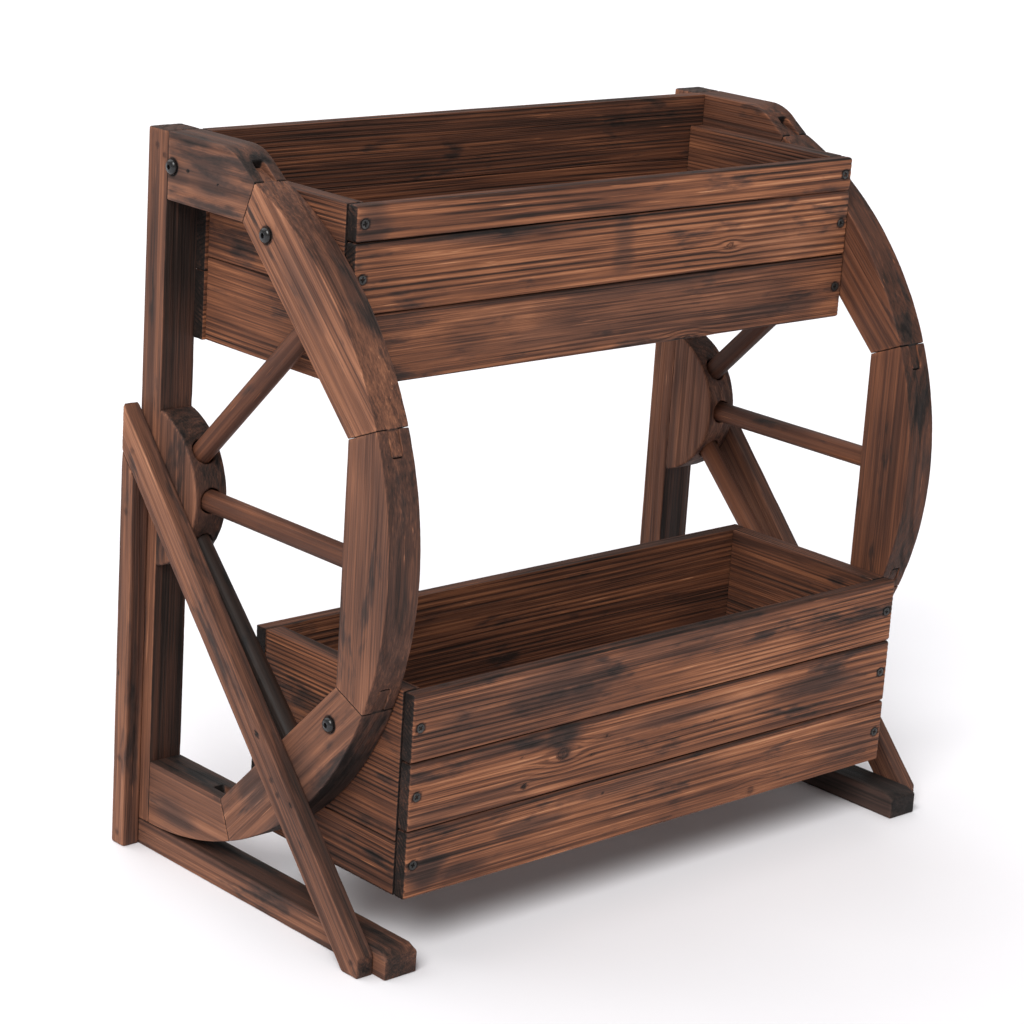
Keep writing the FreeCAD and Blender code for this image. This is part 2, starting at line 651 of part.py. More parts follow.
# ------------------------------------------------------------------------------------------------
# The stand
# ------------------------------------------------------------------------------------------------
for word, side in (("left", -1), ("right", 1)):
    foot(f"{word}_foot", side)
    post(f"{word}_post", side)
    rear_leg(f"{word}_rear_leg", side)
    brace(f"{word}_brace", side)
    hub(f"{word}_hub", side)
    for which, angle in SPOKES:
        spoke(f"{word}_spoke_{which}", side, angle)
    top_segment(f"{word}_rim_1", side)
    second = rim_segment(f"{word}_rim_2", side, 45, tenons=True)
    cross_holes(second, "bolt_hole", [UPPER_BOLT_AT], BOLT_HOLE, shift_up=HUB_Z)
    rim_segment(f"{word}_rim_3", side, 0, tenons=False)
    fourth = rim_segment(f"{word}_rim_4", side, -45, tenons=True)
    cross_holes(fourth, "bolt_hole", [LOWER_BOLT_AT], BOLT_HOLE, shift_up=HUB_Z)
    cross_holes(fourth, "nail_holes", NAILS_BRACE_RIM, "dim.nail_dia / 2", shift_up=HUB_Z)
    bottom_segment(f"{word}_rim_5", side)

H1 = "dim.board_height"
screw_rows = []
for box, back, depth, base, front_rows, end_low, rise, bolt in (
    ("upper", "0", "dim.upper_depth", UPPER_BASE,
     [("bottom", H1), ("middle", H1), ("top", "dim.trim_height")],
     "dim.upper_end_low", UPPER_RISE, UPPER_BOLT_AT),
    ("lower", LOWER_BACK, "dim.lower_depth", LOWER_BASE,
     [("bottom", H1), ("middle", H1), ("top", H1)],
     "dim.lower_end_low", LOWER_RISE, LOWER_BOLT_AT),
):
    front_inner = f"(({back}) + ({depth}) - dim.board_thick)"
    back_inner = f"(({back}) + dim.board_thick)"
    for row, (word, height) in enumerate(front_rows):
        z = f"({base} + {row} * {H1})"
        screw_up = f"(({height}) / 2)"
        long_board(f"{box}_front_{word}", height, z, front_inner, 1, screw_up)
        screw_rows.append((f"({back}) + ({depth})", f"{z} + {screw_up}", 1))
    for row, word in enumerate(("bottom", "middle", "top")):
        z = f"({base} + {row} * {H1})"
        screw_up = f"(({front_rows[row][1]}) / 2)"
        long_board(f"{box}_back_{word}", H1, z, back_inner, -1, screw_up,
                   lag=(box == "upper" and word == "top"))
        screw_rows.append((back, f"{z} + {screw_up}", -1))
    # screws that fall in the lower and in the upper end board, above each board's own base
    marks = [f"({H1} / 2)", f"(1.5 * {H1})",
             f"(2 * {H1} + ({front_rows[2][1]}) / 2)"]
    low_marks = [m for m in marks if val(m) < val(end_low)]
    high_marks = [f"({m} - {end_low})" for m in marks if val(m) > val(end_low)]
    for word, side in (("left", -1), ("right", 1)):
        end_board(f"{box}_{word}_end_bottom", side, depth, back, base, end_low, low_marks)
        end_board(f"{box}_{word}_end_top", side, depth, back, f"({base} + {end_low})",
                  f"({rise} - {end_low})", high_marks, bolt)
        cleat(f"{box}_{word}_cleat", side, depth, back, base)
    for rank, word in enumerate(("back", "front")):
        bottom_board(f"{box}_bottom_{word}", depth, back, base, rank)

bolt_master = button_bolt("bolt_master", "dim.rim_thick + dim.end_thick + dim.nut_rise + "
                          "dim.bolt_tail")
lag_master = button_bolt("lag_master", "dim.rim_thick + dim.lag_bite")

nut_master = body("nut_master", keep=False)
sk = sketch(nut_master, "XY_Plane", "hexagon")
corner = "dim.nut_flats / (2 * cos(30))"
polygon(sk, [(f"{corner} * cos({60 * k})", f"{corner} * sin({60 * k})") for k in range(6)])
circle(sk, "0", "0", "dim.bolt_dia / 2")
pad(nut_master, sk, "dim.nut_rise")

head_drop = "(dim.screw_head_dia - dim.screw_dia) / 2"
screw_master = turned("screw_master", [
    ("0", "-dim.screw_length"), ("dim.screw_dia / 2", "-dim.screw_length"),
    ("dim.screw_dia / 2", f"-({head_drop})"), ("dim.screw_head_dia / 2", "0"), ("0", "0"),
])
sk = sketch(screw_master, "XY_Plane", "cross")
arm, web = "dim.screw_dia * 0.6", "dim.screw_dia * 0.14"
polygon(sk, [(web, web), (arm, web), (arm, f"-{web}"), (web, f"-{web}"), (web, f"-{arm}"),
             (f"-{web}", f"-{arm}"), (f"-{web}", f"-{web}"), (f"-{arm}", f"-{web}"),
             (f"-{arm}", web), (f"-{web}", web), (f"-{web}", arm), (web, arm)])
pocket(screw_master, sk, "dim.screw_cross")

nail_master = body("nail_master", keep=False)
sk = sketch(nail_master, "XY_Plane", "round")
circle(sk, "0", "0", "dim.nail_dia / 2")
pad(nail_master, sk, "dim.nail_length")

OUT_X = f"({HALF} + dim.rim_thick)"
bolts, nuts, lags, screws, nails = [], [], [], [], []
for side in (-1, 1):
    outward = Vector(side, 0, 0)
    for forward, z in (UPPER_BOLT_AT, LOWER_BOLT_AT):
        bolts.append((f"{side} * {OUT_X}", forward, z, outward))
        nuts.append((f"{side} * ({HALF} - dim.end_thick - dim.nut_rise)", forward, z, outward))
    lags.append((f"{side} * {OUT_X}", LAG_AT[0], LAG_AT[1], outward))
    for forward, z, facing in screw_rows:
        screws.append((f"{side} * {SCREW_X}", forward, z, Vector(0, -facing, 0)))
    foot_of_nail = f"{side} * ({OUT_X} + dim.stick_thick - dim.nail_sink - dim.nail_length)"
    for forward, z in NAILS_LEG_POST + NAILS_LEG_FOOT + NAILS_BRACE_POST + NAILS_BRACE_RIM + \
            NAILS_BRACE_FOOT:
        nails.append((foot_of_nail, forward, z, outward))
    for forward, z in NAILS_POST:
        nails.append((f"{side} * ({OUT_X} - dim.nail_sink - dim.nail_length)", forward, z, outward))

scatter("wheel_bolts", bolt_master, bolts)
scatter("wheel_nuts", nut_master, nuts)
scatter("wheel_lag_screws", lag_master, lags)
scatter("box_screws", screw_master, screws)
scatter("frame_nails", nail_master, nails)

# ------------------------------------------------------------------------------------------------
# Checks and output
# ------------------------------------------------------------------------------------------------
doc.recompute()
for obj in doc.Objects:
    if "Invalid" in obj.State or "Error" in obj.State:
        raise RuntimeError(f"{obj.Label} failed: {obj.State}")
for piece in PIECES:
    if piece.Shape.isNull() or not piece.Shape.isValid() or not piece.Shape.Solids:
        raise RuntimeError(f"{piece.Label} has no valid solid")

os.makedirs("parts", exist_ok=True)
for piece in PIECES:
    piece.Shape.exportStep(f"parts/{piece.Label}.step")
print(len(PIECES), "pieces written")
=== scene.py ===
import math

import bpy
import numpy as np
from mathutils import Matrix, Vector


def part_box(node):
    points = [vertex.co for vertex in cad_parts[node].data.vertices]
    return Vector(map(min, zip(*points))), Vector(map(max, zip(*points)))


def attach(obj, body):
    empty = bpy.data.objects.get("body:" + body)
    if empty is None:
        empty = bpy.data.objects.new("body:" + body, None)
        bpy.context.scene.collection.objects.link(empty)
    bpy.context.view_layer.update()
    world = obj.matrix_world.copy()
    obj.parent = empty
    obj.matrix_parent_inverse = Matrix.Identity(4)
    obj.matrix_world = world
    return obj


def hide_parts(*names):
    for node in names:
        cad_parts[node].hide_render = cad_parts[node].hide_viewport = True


# Two-tier planter stand in scorched, brushed and stained softwood, with black bolts.
# Every wooden piece is cut again here as a fine mesh with real grain relief, in the place and at the
# size of the part it stands for. Lengths are in metres; X runs along the boxes, the front faces -Y
# and +Z is up. Left is -X.

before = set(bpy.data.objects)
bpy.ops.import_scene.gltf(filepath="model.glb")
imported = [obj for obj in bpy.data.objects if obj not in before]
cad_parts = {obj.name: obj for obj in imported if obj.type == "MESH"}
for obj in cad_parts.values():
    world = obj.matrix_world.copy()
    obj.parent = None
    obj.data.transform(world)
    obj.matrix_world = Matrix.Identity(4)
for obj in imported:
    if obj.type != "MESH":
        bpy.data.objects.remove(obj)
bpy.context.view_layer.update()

MM = 0.001
X, Y, Z = Vector((1, 0, 0)), Vector((0, 1, 0)), Vector((0, 0, 1))
SIDES = (("left", -1), ("right", 1))


# ------------------------------------------------------------------------------------------------
# Noise
# ------------------------------------------------------------------------------------------------
MIX_X, MIX_Y, MIX_Z, MIX_AGAIN = (np.uint32(n) for n in (374761393, 668265263, 2246822519, 2654435769))
LARGEST = 4294967295.0                                    # the largest number that 32 bits hold


def lattice(ix, iy, iz, seed):
    """Repeatable random number from 0 to 1 for each whole-numbered point."""
    with np.errstate(over="ignore"):
        mixed = (ix.astype(np.uint32) * MIX_X + iy.astype(np.uint32) * MIX_Y
                 + iz.astype(np.uint32) * MIX_Z + np.uint32(seed * 40503 + 12345))
        for shift in (15, 13, 16):
            mixed = (mixed ^ (mixed >> np.uint32(shift))) * MIX_AGAIN
    return mixed / LARGEST


def noise(points, scale, seed=0, octaves=1):
    """Smooth noise from -1 to 1. Scale is how many lumps fit in a metre along each axis."""
    total, weight, top = 0.0, 1.0, 0.0
    at = points * np.asarray(scale, float)
    for octave in range(octaves):
        base = np.floor(at)
        t = at - base
        t = t * t * (3 - 2 * t)
        i = base.astype(np.int64)
        value = 0.0
        for dx in (0, 1):
            for dy in (0, 1):
                for dz in (0, 1):
                    share = (np.abs(1 - dx - t[:, 0]) * np.abs(1 - dy - t[:, 1])
                             * np.abs(1 - dz - t[:, 2]))
                    value = value + share * lattice(i[:, 0] + dx, i[:, 1] + dy, i[:, 2] + dz,
                                                    seed + 7 * octave)
        total = total + weight * (2 * value - 1)
        top += weight
        weight *= 0.5
        at = at * 2.03
    return total / top


def smooth(value, low, high):
    """0 below low, 1 above high, and smooth between them."""
    t = np.clip((value - low) / (high - low), 0, 1)
    return t * t * (3 - 2 * t)


# ------------------------------------------------------------------------------------------------
# Wood relief
# ------------------------------------------------------------------------------------------------
class Cut:
    """How one kind of piece is sawn and brushed."""

    def __init__(self, ring, groove, wander, fuzz, edge, worn):
        self.ring = ring          # width of a growth ring
        self.groove = groove      # depth of the brushed grooves
        self.wander = wander      # how far the rings drift along a piece
        self.fuzz = fuzz          # depth of the fine fibres
        self.edge = edge          # rounding of a board's edges
        self.worn = worn          # extra wear on the edges


RIBBED = Cut(ring=4.6 * MM, groove=0.55 * MM, wander=3 * MM, fuzz=0.16 * MM, edge=3 * MM,
             worn=0.3 * MM)
FINE_RIBBED = Cut(ring=3.4 * MM, groove=0.4 * MM, wander=4 * MM, fuzz=0.18 * MM, edge=3 * MM,
                  worn=0.35 * MM)
BACKING = Cut(ring=4 * MM, groove=0.4 * MM, wander=4 * MM, fuzz=0.16 * MM, edge=0.8 * MM,
              worn=0.1 * MM)
PANEL = Cut(ring=3.4 * MM, groove=0.35 * MM, wander=5 * MM, fuzz=0.16 * MM, edge=1.8 * MM,
            worn=0.3 * MM)
PLANED = Cut(ring=7 * MM, groove=0.12 * MM, wander=7 * MM, fuzz=0.12 * MM, edge=2 * MM,
             worn=0.3 * MM)

# Knots, scorched spots and pin holes on the outer faces; two of the spots are painted shade instead,
# the long strip on left_rim_4 and the spot over left_spoke_lower. Each is (along, across, size) from
# the middle of the face, along the grain and across it; a spot has a length, a height and a strength.
KNOTS = {
    "lower_front_middle": ((-0.119, 0.004, 5.4 * MM), (-0.161, -0.016, 2.2 * MM),
                           (-0.166, 0.010, 0.9 * MM), (-0.069, 0.009, 1.2 * MM),
                           (-0.086, -0.004, 0.9 * MM), (0.06, -0.003, 0.8 * MM)),
    "lower_front_bottom": ((-0.27, 0.012, 1.0 * MM), (0.115, -0.022, 4.0 * MM),
                           (-0.07, 0.016, 1.1 * MM)),
    "upper_front_middle": ((0.135, -0.008, 3.0 * MM),),
    "upper_front_bottom": ((0.09, -0.03, 5.0 * MM),),
    "upper_left_end_top": ((-0.06, 0.006, 3.0 * MM),),
    "left_rim_1": ((-0.01, 0.004, 0.9 * MM), (0.03, 0.0, 1.4 * MM)),
    "left_rim_4": ((-0.06, 0.018, 1.6 * MM),),
    "left_brace": ((0.045, 0.0, 2.0 * MM), (0.11, 0.006, 1.4 * MM)),
    "left_rear_leg": ((-0.02, 0.004, 1.2 * MM),),
}
SPOTS = {
    "lower_front_top": ((-0.125, 0.004, 0.085, 0.03, 0.6), (-0.17, 0.0, 0.14, 0.045, 0.3),
                        (-0.21, -0.004, 0.05, 0.012, 0.35), (0.02, 0.02, 0.12, 0.02, 0.35)),
    "lower_front_middle": ((-0.119, 0.022, 0.02, 0.022, 0.7), (-0.117, 0.004, 0.014, 0.011, 0.5),
                           (-0.19, 0.022, 0.06, 0.006, 0.45), (0.02, 0.010, 0.10, 0.008, 0.4),
                           (0.20, 0.004, 0.07, 0.012, 0.6), (-0.2, -0.018, 0.09, 0.012, 0.3)),
    "lower_front_bottom": ((-0.262, -0.006, 0.02, 0.016, 0.7), (-0.225, -0.015, 0.04, 0.006, 0.45),
                           (-0.15, 0.006, 0.06, 0.007, 0.5), (-0.02, 0.018, 0.10, 0.008, 0.4),
                           (0.24, 0.0, 0.05, 0.02, 0.35)),
    "upper_front_middle": ((0.005, 0.004, 0.014, 0.03, 0.35), (-0.15, 0.025, 0.09, 0.006, 0.5),
                           (0.2, -0.01, 0.09, 0.02, 0.25)),
    "upper_front_bottom": ((-0.05, -0.006, 0.1, 0.02, 0.35), (0.06, 0.0, 0.26, 0.04, 0.28),
                           (0.05, 0.02, 0.13, 0.007, 0.45), (0.2, -0.012, 0.08, 0.008, 0.6),
                           (-0.24, 0.02, 0.04, 0.01, 0.3)),
    "upper_front_top": ((-0.27, 0.0, 0.02, 0.02, 0.5),),
    "left_rim_1": ((0.0, 0.0, 0.04, 0.022, 0.5), (0.045, 0.006, 0.03, 0.012, 0.35)),
    "left_rim_2": ((0.02, -0.012, 0.05, 0.012, 0.3),),
    "left_rim_4": ((0.0, -0.01, 0.04, 0.02, 0.4), (-0.05, 0.0, 0.03, 0.02, 0.5),
                   # The long strip below is painted shade, not scorch, on the rim's outer edge that
                   # faces down and forward.
                   (0.0, -0.042, 0.14, 0.014, 0.45)),
    "left_rim_5": ((0.02, 0.008, 0.04, 0.016, 0.4),),
    "right_foot": ((-0.13, 0.0, 0.16, 0.06, 0.65),),
    # Painted shade over the whole lower spoke, which lies in the box's shade, not scorch.
    "left_spoke_lower": ((0.0, 0.0, 0.3, 0.05, 0.5),),
}


PIN_KNOT = 2.3 * MM                                       # smaller knots are black right through
LARGE_KNOT_DARK = 0.4                                     # how dark the others are
KNOT_LENGTH = 1.25                                        # a knot's length over its height


def bent_round(points, knots):
    """Grain coordinates pushed aside round the knots, and how dark a knot makes each point."""
    bent = points.copy()
    inside = np.zeros(len(points))
    for along, across, radius in knots:
        dx, dy = points[:, 0] - along, points[:, 1] - across
        near = np.exp(-(dx / (4.5 * radius)) ** 2 - (dy / (2.6 * radius)) ** 2)
        bent[:, 1] -= 1.5 * radius * np.tanh(dy / (0.6 * radius)) * near
        away = np.sqrt((dx / KNOT_LENGTH) ** 2 + dy ** 2) / radius
        dark = 1.0 if radius < PIN_KNOT else LARGE_KNOT_DARK
        inside = np.maximum(inside, dark * (1 - smooth(away, 0.72, 1.12)))
    return bent, inside


def ring_field(points, cut, seed, knots):
    """Growth rings, counted outwards from a heart that lies beside or behind the piece."""
    pick = np.random.default_rng(seed)
    heart_y = pick.choice((-1, 1)) * pick.uniform(0.05, 0.11)
    heart_z = -pick.uniform(0.02, 0.09)
    bent, inside = bent_round(points, knots)
    bent[:, 1] += cut.wander * noise(bent, (2.2, 6, 6), seed + 1, 2)
    bent[:, 2] += 2 * cut.wander * noise(bent, (1.3, 4, 4), seed + 2)
    radius = np.hypot(bent[:, 1] - heart_y, bent[:, 2] - heart_z)
    ring = radius / cut.ring + 0.9 * noise(bent, (1.8, 40, 40), seed + 3)
    for along, across, size in knots:
        away = np.hypot((points[:, 0] - along) / KNOT_LENGTH, points[:, 1] - across) / size
        uneven = 0.22 * noise(points, (250, 250, 250), seed + 5, 2)
        ring = np.where(away < 1, 1.25 * away + 0.5 + uneven, ring)
    return ring, inside


def scorch_and_shade_spots(points, spots):
    """How far each point lies in a listed spot, ragged at its rim; most are scorch, two are painted
    shade.
    """
    scorch_and_shade = np.zeros(len(points))
    rag = 0.5 * noise(points, (30, 110, 110), 91, 3)
    for along, across, length, height, strength in spots:
        away = np.hypot((points[:, 0] - along) / length, (points[:, 1] - across) / height)
        scorch_and_shade = np.maximum(scorch_and_shade, strength * (1 - smooth(away + rag, 0.35, 1.2)))
    return scorch_and_shade


SEAT_REACH = 2.5 * MM                                     # how far below the face a seat counts
SEAT_START, SEAT_END = 0.3 * MM, 1.9 * MM                 # a seat fades out beyond the head's rim
NAIL_RADIUS = 2 * MM                                      # smaller heads are nails
NAIL_SEAT = 0.4                                           # and are pressed in less


# The finishes darken this field as painted shade round each head.
def seat_field(points, seats):
    """1 where a fastener's head is pressed into the face, fading out just beyond its rim."""
    pressed = np.zeros(len(points))
    for along, across, up, radius in seats:
        away = np.hypot(points[:, 0] - along, points[:, 1] - across)
        near = np.abs(points[:, 2] - up) < SEAT_REACH
        weight = NAIL_SEAT if radius < NAIL_RADIUS else 1.0
        rim = 1 - smooth(away, radius + SEAT_START, radius + SEAT_END)
        pressed = np.maximum(pressed, weight * near * rim)
    return pressed


def groove_of(ring, width=0.34):
    """1 in the brushed groove of each ring and 0 on its ridge."""
    phase = ring - np.floor(ring)
    return 1 - smooth(np.abs(phase - 0.5), 0.5 * width, width)


def neighbour_mean(values, links, count):
    """Mean over the points that each point is joined to."""
    total = np.zeros_like(values)
    np.add.at(total, links[:, 0], values[links[:, 1]])
    np.add.at(total, links[:, 1], values[links[:, 0]])
    return total / count


def edge_field(mesh, normals, rounds=5):
    """1 along edges and corners, fading to 0 within a few cells."""
    links = np.empty(len(mesh.edges) * 2, np.int64)
    mesh.edges.foreach_get("vertices", links)
    links = links.reshape(-1, 2)
    count = np.maximum(np.bincount(links.ravel(), minlength=len(mesh.vertices)), 1)[:, None]
    blurred = normals
    for _ in range(rounds):
        blurred = 0.3 * blurred + 0.7 * neighbour_mean(blurred, links, count)
    return np.clip(5 * (1 - np.linalg.norm(blurred, axis=1)), 0, 1)


def corner_array(mesh, what, kind, width):
    """Places or normals of all corners as one array."""
    made = np.empty(len(mesh.vertices) * width, kind)
    getattr(mesh, what).foreach_get("vector" if what == "vertex_normals" else "co", made)
    return made.reshape(-1, width)


def write_field(mesh, name, values):
    """Stores one value or vector per corner, for the finishes to read."""
    vector = values.ndim == 2
    made = mesh.attributes.new(name, "FLOAT_VECTOR" if vector else "FLOAT", "POINT")
    made.data.foreach_set("vector" if vector else "value", values.astype(np.float32).ravel())


def fasteners(node):
    """Each fastener of a node: the outer end of its head, its outward direction, radius and length."""
    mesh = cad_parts[node].data
    at = corner_array(mesh, "vertices", float, 3)
    _, first, same = np.unique(np.round(at / (0.001 * MM)).astype(np.int64), axis=0, return_index=True,
                               return_inverse=True)
    links = np.empty(len(mesh.edges) * 2, np.int64)
    mesh.edges.foreach_get("vertices", links)
    one, two = same.ravel()[links].reshape(-1, 2).T
    label = np.arange(len(first))
    while True:
        least = np.minimum(label[one], label[two])
        new = label.copy()
        np.minimum.at(new, one, least)
        np.minimum.at(new, two, least)
        if (new == label).all():
            break
        label = new[new]
    found = []
    for value in np.unique(label):
        mine = at[first[label == value]]
        low, high = mine.min(0), mine.max(0)
        axis, middle = int(np.argmax(high - low)), (low + high) / 2
        away = mine - middle
        away[:, axis] = 0
        radius = np.linalg.norm(away, axis=1)
        sign = 1 if mine[radius > 0.9 * radius.max(), axis].mean() > middle[axis] else -1
        place, out = middle.copy(), np.zeros(3)
        place[axis] = high[axis] if sign > 0 else low[axis]
        out[axis] = sign
        found.append((Vector(place), Vector(out), float(radius.max()), float((high - low)[axis])))
    return found


HARDWARE = {node: fasteners(node) for node in ("wheel_bolts", "wheel_lag_screws", "box_screws",
                                               "frame_nails")}


def seats_on(local, low, high):
    """Where heads sit on a piece's faces, in its own axes: along, across, height and radius."""
    found = []
    for fitted in HARDWARE.values():
        for place, out, radius, _ in fitted:
            spot = local.inverted() @ place
            facing = (local.inverted().to_3x3() @ out).z
            inside = low[0] < spot.x < high[0] and low[1] < spot.y < high[1]
            face = high[2] if facing > 0 else low[2]
            if inside and abs(facing) > 0.9 and abs(spot.z - face) < 5 * MM:
                found.append((spot.x, spot.y, face, radius))
    return found


def unwrap(mesh, at, size):
    """Flat map of the six sides, one row for each long side and one for the two ends."""
    loops = np.empty(len(mesh.loops), np.int64)
    mesh.loops.foreach_get("vertex_index", loops)
    totals = np.empty(len(mesh.polygons), np.int64)
    mesh.polygons.foreach_get("loop_total", totals)
    facing = np.empty(len(mesh.polygons) * 3)
    mesh.polygons.foreach_get("normal", facing)
    facing = facing.reshape(-1, 3)
    side = np.argmax(np.abs(facing), axis=1)
    sign = facing[np.arange(len(side)), side] > 0
    side, sign = np.repeat(side, totals), np.repeat(sign, totals)
    share = at[loops] / size + 0.5
    rows = (size[1], size[1], size[2], size[2], size[2])
    starts = np.concatenate([[0], np.cumsum(rows)]) / sum(rows)
    heights = np.array(rows) / sum(rows)
    row = np.select([(side == 2) & sign, side == 2, (side == 1) & sign, side == 1], [0, 1, 2, 3], 4)
    across = np.select([side == 2, side == 1], [share[:, 1], share[:, 2]], share[:, 2])
    along = np.where(side == 0, 0.5 * share[:, 1] + np.where(sign, 0.5, 0), share[:, 0])
    pad, gap = 0.01, 0.04
    uv = np.stack([pad + (1 - 2 * pad) * along,
                   starts[row] + heights[row] * (gap + (1 - 2 * gap) * across)], axis=1)
    layer = mesh.uv_layers.new(name="OFBake")
    layer.data.foreach_set("uv", np.clip(uv, 0, 1).astype(np.float32).ravel())


LUMPS = 0.16 * MM                                         # shallow waves of the whole face
KNOT_RINGS = 0.3 * MM                                     # grooves of the rings in a knot
ROUGH_ENDS = 0.5 * MM                                     # torn end grain
SEAT_DEPTH = 0.45 * MM                                    # wood pressed in round a head


def brushed(node, mesh, local, cut, seed, finish):
    """Gives a blank its relief, its grain fields and its finish, and puts it in place.

    The mesh is in local axes: X along the grain, Z out of the face that shows.
    """
    mesh.name = node + "_wood"
    at = corner_array(mesh, "vertices", float, 3)
    normals = corner_array(mesh, "vertex_normals", float, 3)
    low, high = at.min(0), at.max(0)
    size = high - low
    edge = edge_field(mesh, normals)
    ring, inside = ring_field(at, cut, seed, KNOTS.get(node, ()))
    scorch_and_shade = scorch_and_shade_spots(at, SPOTS.get(node, ()))
    seat = seat_field(at, seats_on(local, low, high))
    cross = smooth(np.abs(normals[:, 0]), 0.55, 0.85)      # 1 on end grain
    side = (1 - smooth(np.abs(normals[:, 2]), 0.5, 0.85)) * (1 - cross)
    # Painted shade: the top long edge of each board, just under its joint with the board above, is
    # darkened in the finish of the front boards.
    top_edge_shade = smooth(at[:, 1] / high[1], 0.78, 1.0) * (1 - 0.6 * side)   # the long edge on top
    strength = 0.55 + 0.45 * noise(at, (3, 40, 40), seed + 11)
    fibres = 0.5 + 0.5 * noise(at, (20, 420, 420), seed + 12, 2)
    lumps = 0.5 + 0.5 * noise(at, (8, 25, 25), seed + 13)
    chips = smooth(noise(at, (60, 150, 150), seed + 14, 2), 0.0, 0.6)
    groove = groove_of(ring) * np.clip(strength, 0, 1)
    depth = (cut.groove * groove * (1 - 0.6 * cross) * (1 - inside) + cut.fuzz * fibres
             + LUMPS * lumps + cut.worn * edge * (0.25 + chips) + KNOT_RINGS * inside * groove
             + ROUGH_ENDS * cross * noise(at, (300, 300, 300), seed + 15, 2) ** 2 + SEAT_DEPTH * seat)
    at = np.clip(at - normals * depth[:, None], low, high)
    mesh.vertices.foreach_set("co", at.astype(np.float32).ravel())
    mesh.update()
    unwrap(mesh, at - (low + high) / 2, size)
    fields = {"grain": at + 0.37 * seed, "ring": ring, "edge": edge, "knot": inside, "cross": cross,
              "side": side, "top_edge_shade": top_edge_shade, "scorch_and_shade": scorch_and_shade, "seat": seat}
    for name, values in fields.items():
        write_field(mesh, name, values)
    mesh.transform(local)
    mesh.polygons.foreach_set("use_smooth", [True] * len(mesh.polygons))
    mesh.materials.clear()
    mesh.materials.append(finish)
    piece = bpy.data.objects.new(node + "_wood", mesh)
    bpy.context.scene.collection.objects.link(piece)
    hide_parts(node)
    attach(piece, "root")
    return piece


def local_axes(grain, face, centre):
    """Matrix from local axes (X along the grain, Z out of the face) to the stand's."""
    grain, face = grain.normalized(), face.normalized()
    across = face.cross(grain)
    turn = Matrix((grain, across, face)).transposed().to_4x4()
    return Matrix.Translation(centre) @ turn


def from_solid(node, grain, face, cut, seed, finish, cell=1.1 * MM, stretch=2.0):
    """Timber cut from the part's own shape, in cells that are longer along the grain."""
    low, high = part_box(node)
    local = local_axes(grain, face, (low + high) / 2)
    squeeze = Matrix.Diagonal((1 / stretch, 1, 1, 1))
    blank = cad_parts[node].data.copy()
    blank.transform(squeeze @ local.inverted())
    holder = bpy.data.objects.new("blank", blank)
    bpy.context.scene.collection.objects.link(holder)
    cells = holder.modifiers.new("cells", "REMESH")
    cells.mode = "VOXEL"
    cells.voxel_size = cell
    graph = bpy.context.evaluated_depsgraph_get()
    mesh = bpy.data.meshes.new_from_object(holder.evaluated_get(graph))
    bpy.data.objects.remove(holder)
    mesh.transform(squeeze.inverted())
    return brushed(node, mesh, local, cut, seed, finish)


def spaced(length, step, ease):
    """Places from end to end, closer together in the rounding at both ends."""
    inner = np.linspace(-length / 2 + ease, length / 2 - ease,
                        max(2, int(round((length - 2 * ease) / step)) + 1))
    curve = ease * np.array([1.0, 0.75, 0.5, 0.25])
    return np.concatenate([-length / 2 + ease - curve, inner, length / 2 - ease + curve[::-1]])


def board(node, grain, face, cut, seed, finish, cell=1.0 * MM, stretch=2.4, spare=0.0):
    """Board with rounded edges, as wide and thick as the part, and as long but for the spare."""
    low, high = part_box(node)
    local = local_axes(grain, face, (low + high) / 2)
    size = [abs((local.inverted().to_3x3() @ (high - low))[i]) for i in range(3)]
    size[0] += 2 * spare
    ease = min(cut.edge, 0.45 * min(size))
    steps = (cell * stretch, cell, cell)
    lines = [spaced(size[i], steps[i], ease) for i in range(3)]
    points, quads = [], []
    for axis in range(3):
        b, c = (axis + 1) % 3, (axis + 2) % 3
        for sign in (-1, 1):
            first = sum(len(p) for p in points)
            grid = np.zeros((len(lines[b]), len(lines[c]), 3))
            grid[..., axis] = sign * size[axis] / 2
            grid[..., b] = lines[b][:, None]
            grid[..., c] = lines[c][None, :]
            points.append(grid.reshape(-1, 3))
            index = first + np.arange(grid.shape[0] * grid.shape[1]).reshape(grid.shape[:2])
            quad = np.stack([index[:-1, :-1], index[1:, :-1], index[1:, 1:], index[:-1, 1:]], -1)
            quads.append((quad if sign > 0 else quad[..., ::-1]).reshape(-1, 4))
    at = np.concatenate(points)
    inner = np.clip(at, -np.array(size) / 2 + ease, np.array(size) / 2 - ease)
    away = at - inner
    reach = np.linalg.norm(away, axis=1, keepdims=True)
    at = inner + away / np.maximum(reach, 1e-9) * ease
    keys = np.round(at / (0.01 * MM)).astype(np.int64)
    _, keep, back = np.unique(keys, axis=0, return_index=True, return_inverse=True)
    mesh = bpy.data.meshes.new(node)
    mesh.from_pydata(at[keep].tolist(), [], back.ravel()[np.concatenate(quads)].tolist())
    mesh.validate()
    mesh.update()
    return brushed(node, mesh, local, cut, seed, finish)


# ------------------------------------------------------------------------------------------------
# Effects that the finishes share, as node groups
# ------------------------------------------------------------------------------------------------
def new_group(name, inputs, outputs):
    tree = bpy.data.node_groups.new(name, "ShaderNodeTree")
    for label, kind, value in inputs:
        made = tree.interface.new_socket(label, in_out="INPUT", socket_type=kind)
        if value is not None:
            made.default_value = value
    for label, kind in outputs:
        tree.interface.new_socket(label, in_out="OUTPUT", socket_type=kind)
    entry = tree.nodes.new("NodeGroupInput")
    leave = tree.nodes.new("NodeGroupOutput")
    return tree, entry, leave


FLOAT, COLOR, VECTOR = "NodeSocketFloat", "NodeSocketColor", "NodeSocketVector"


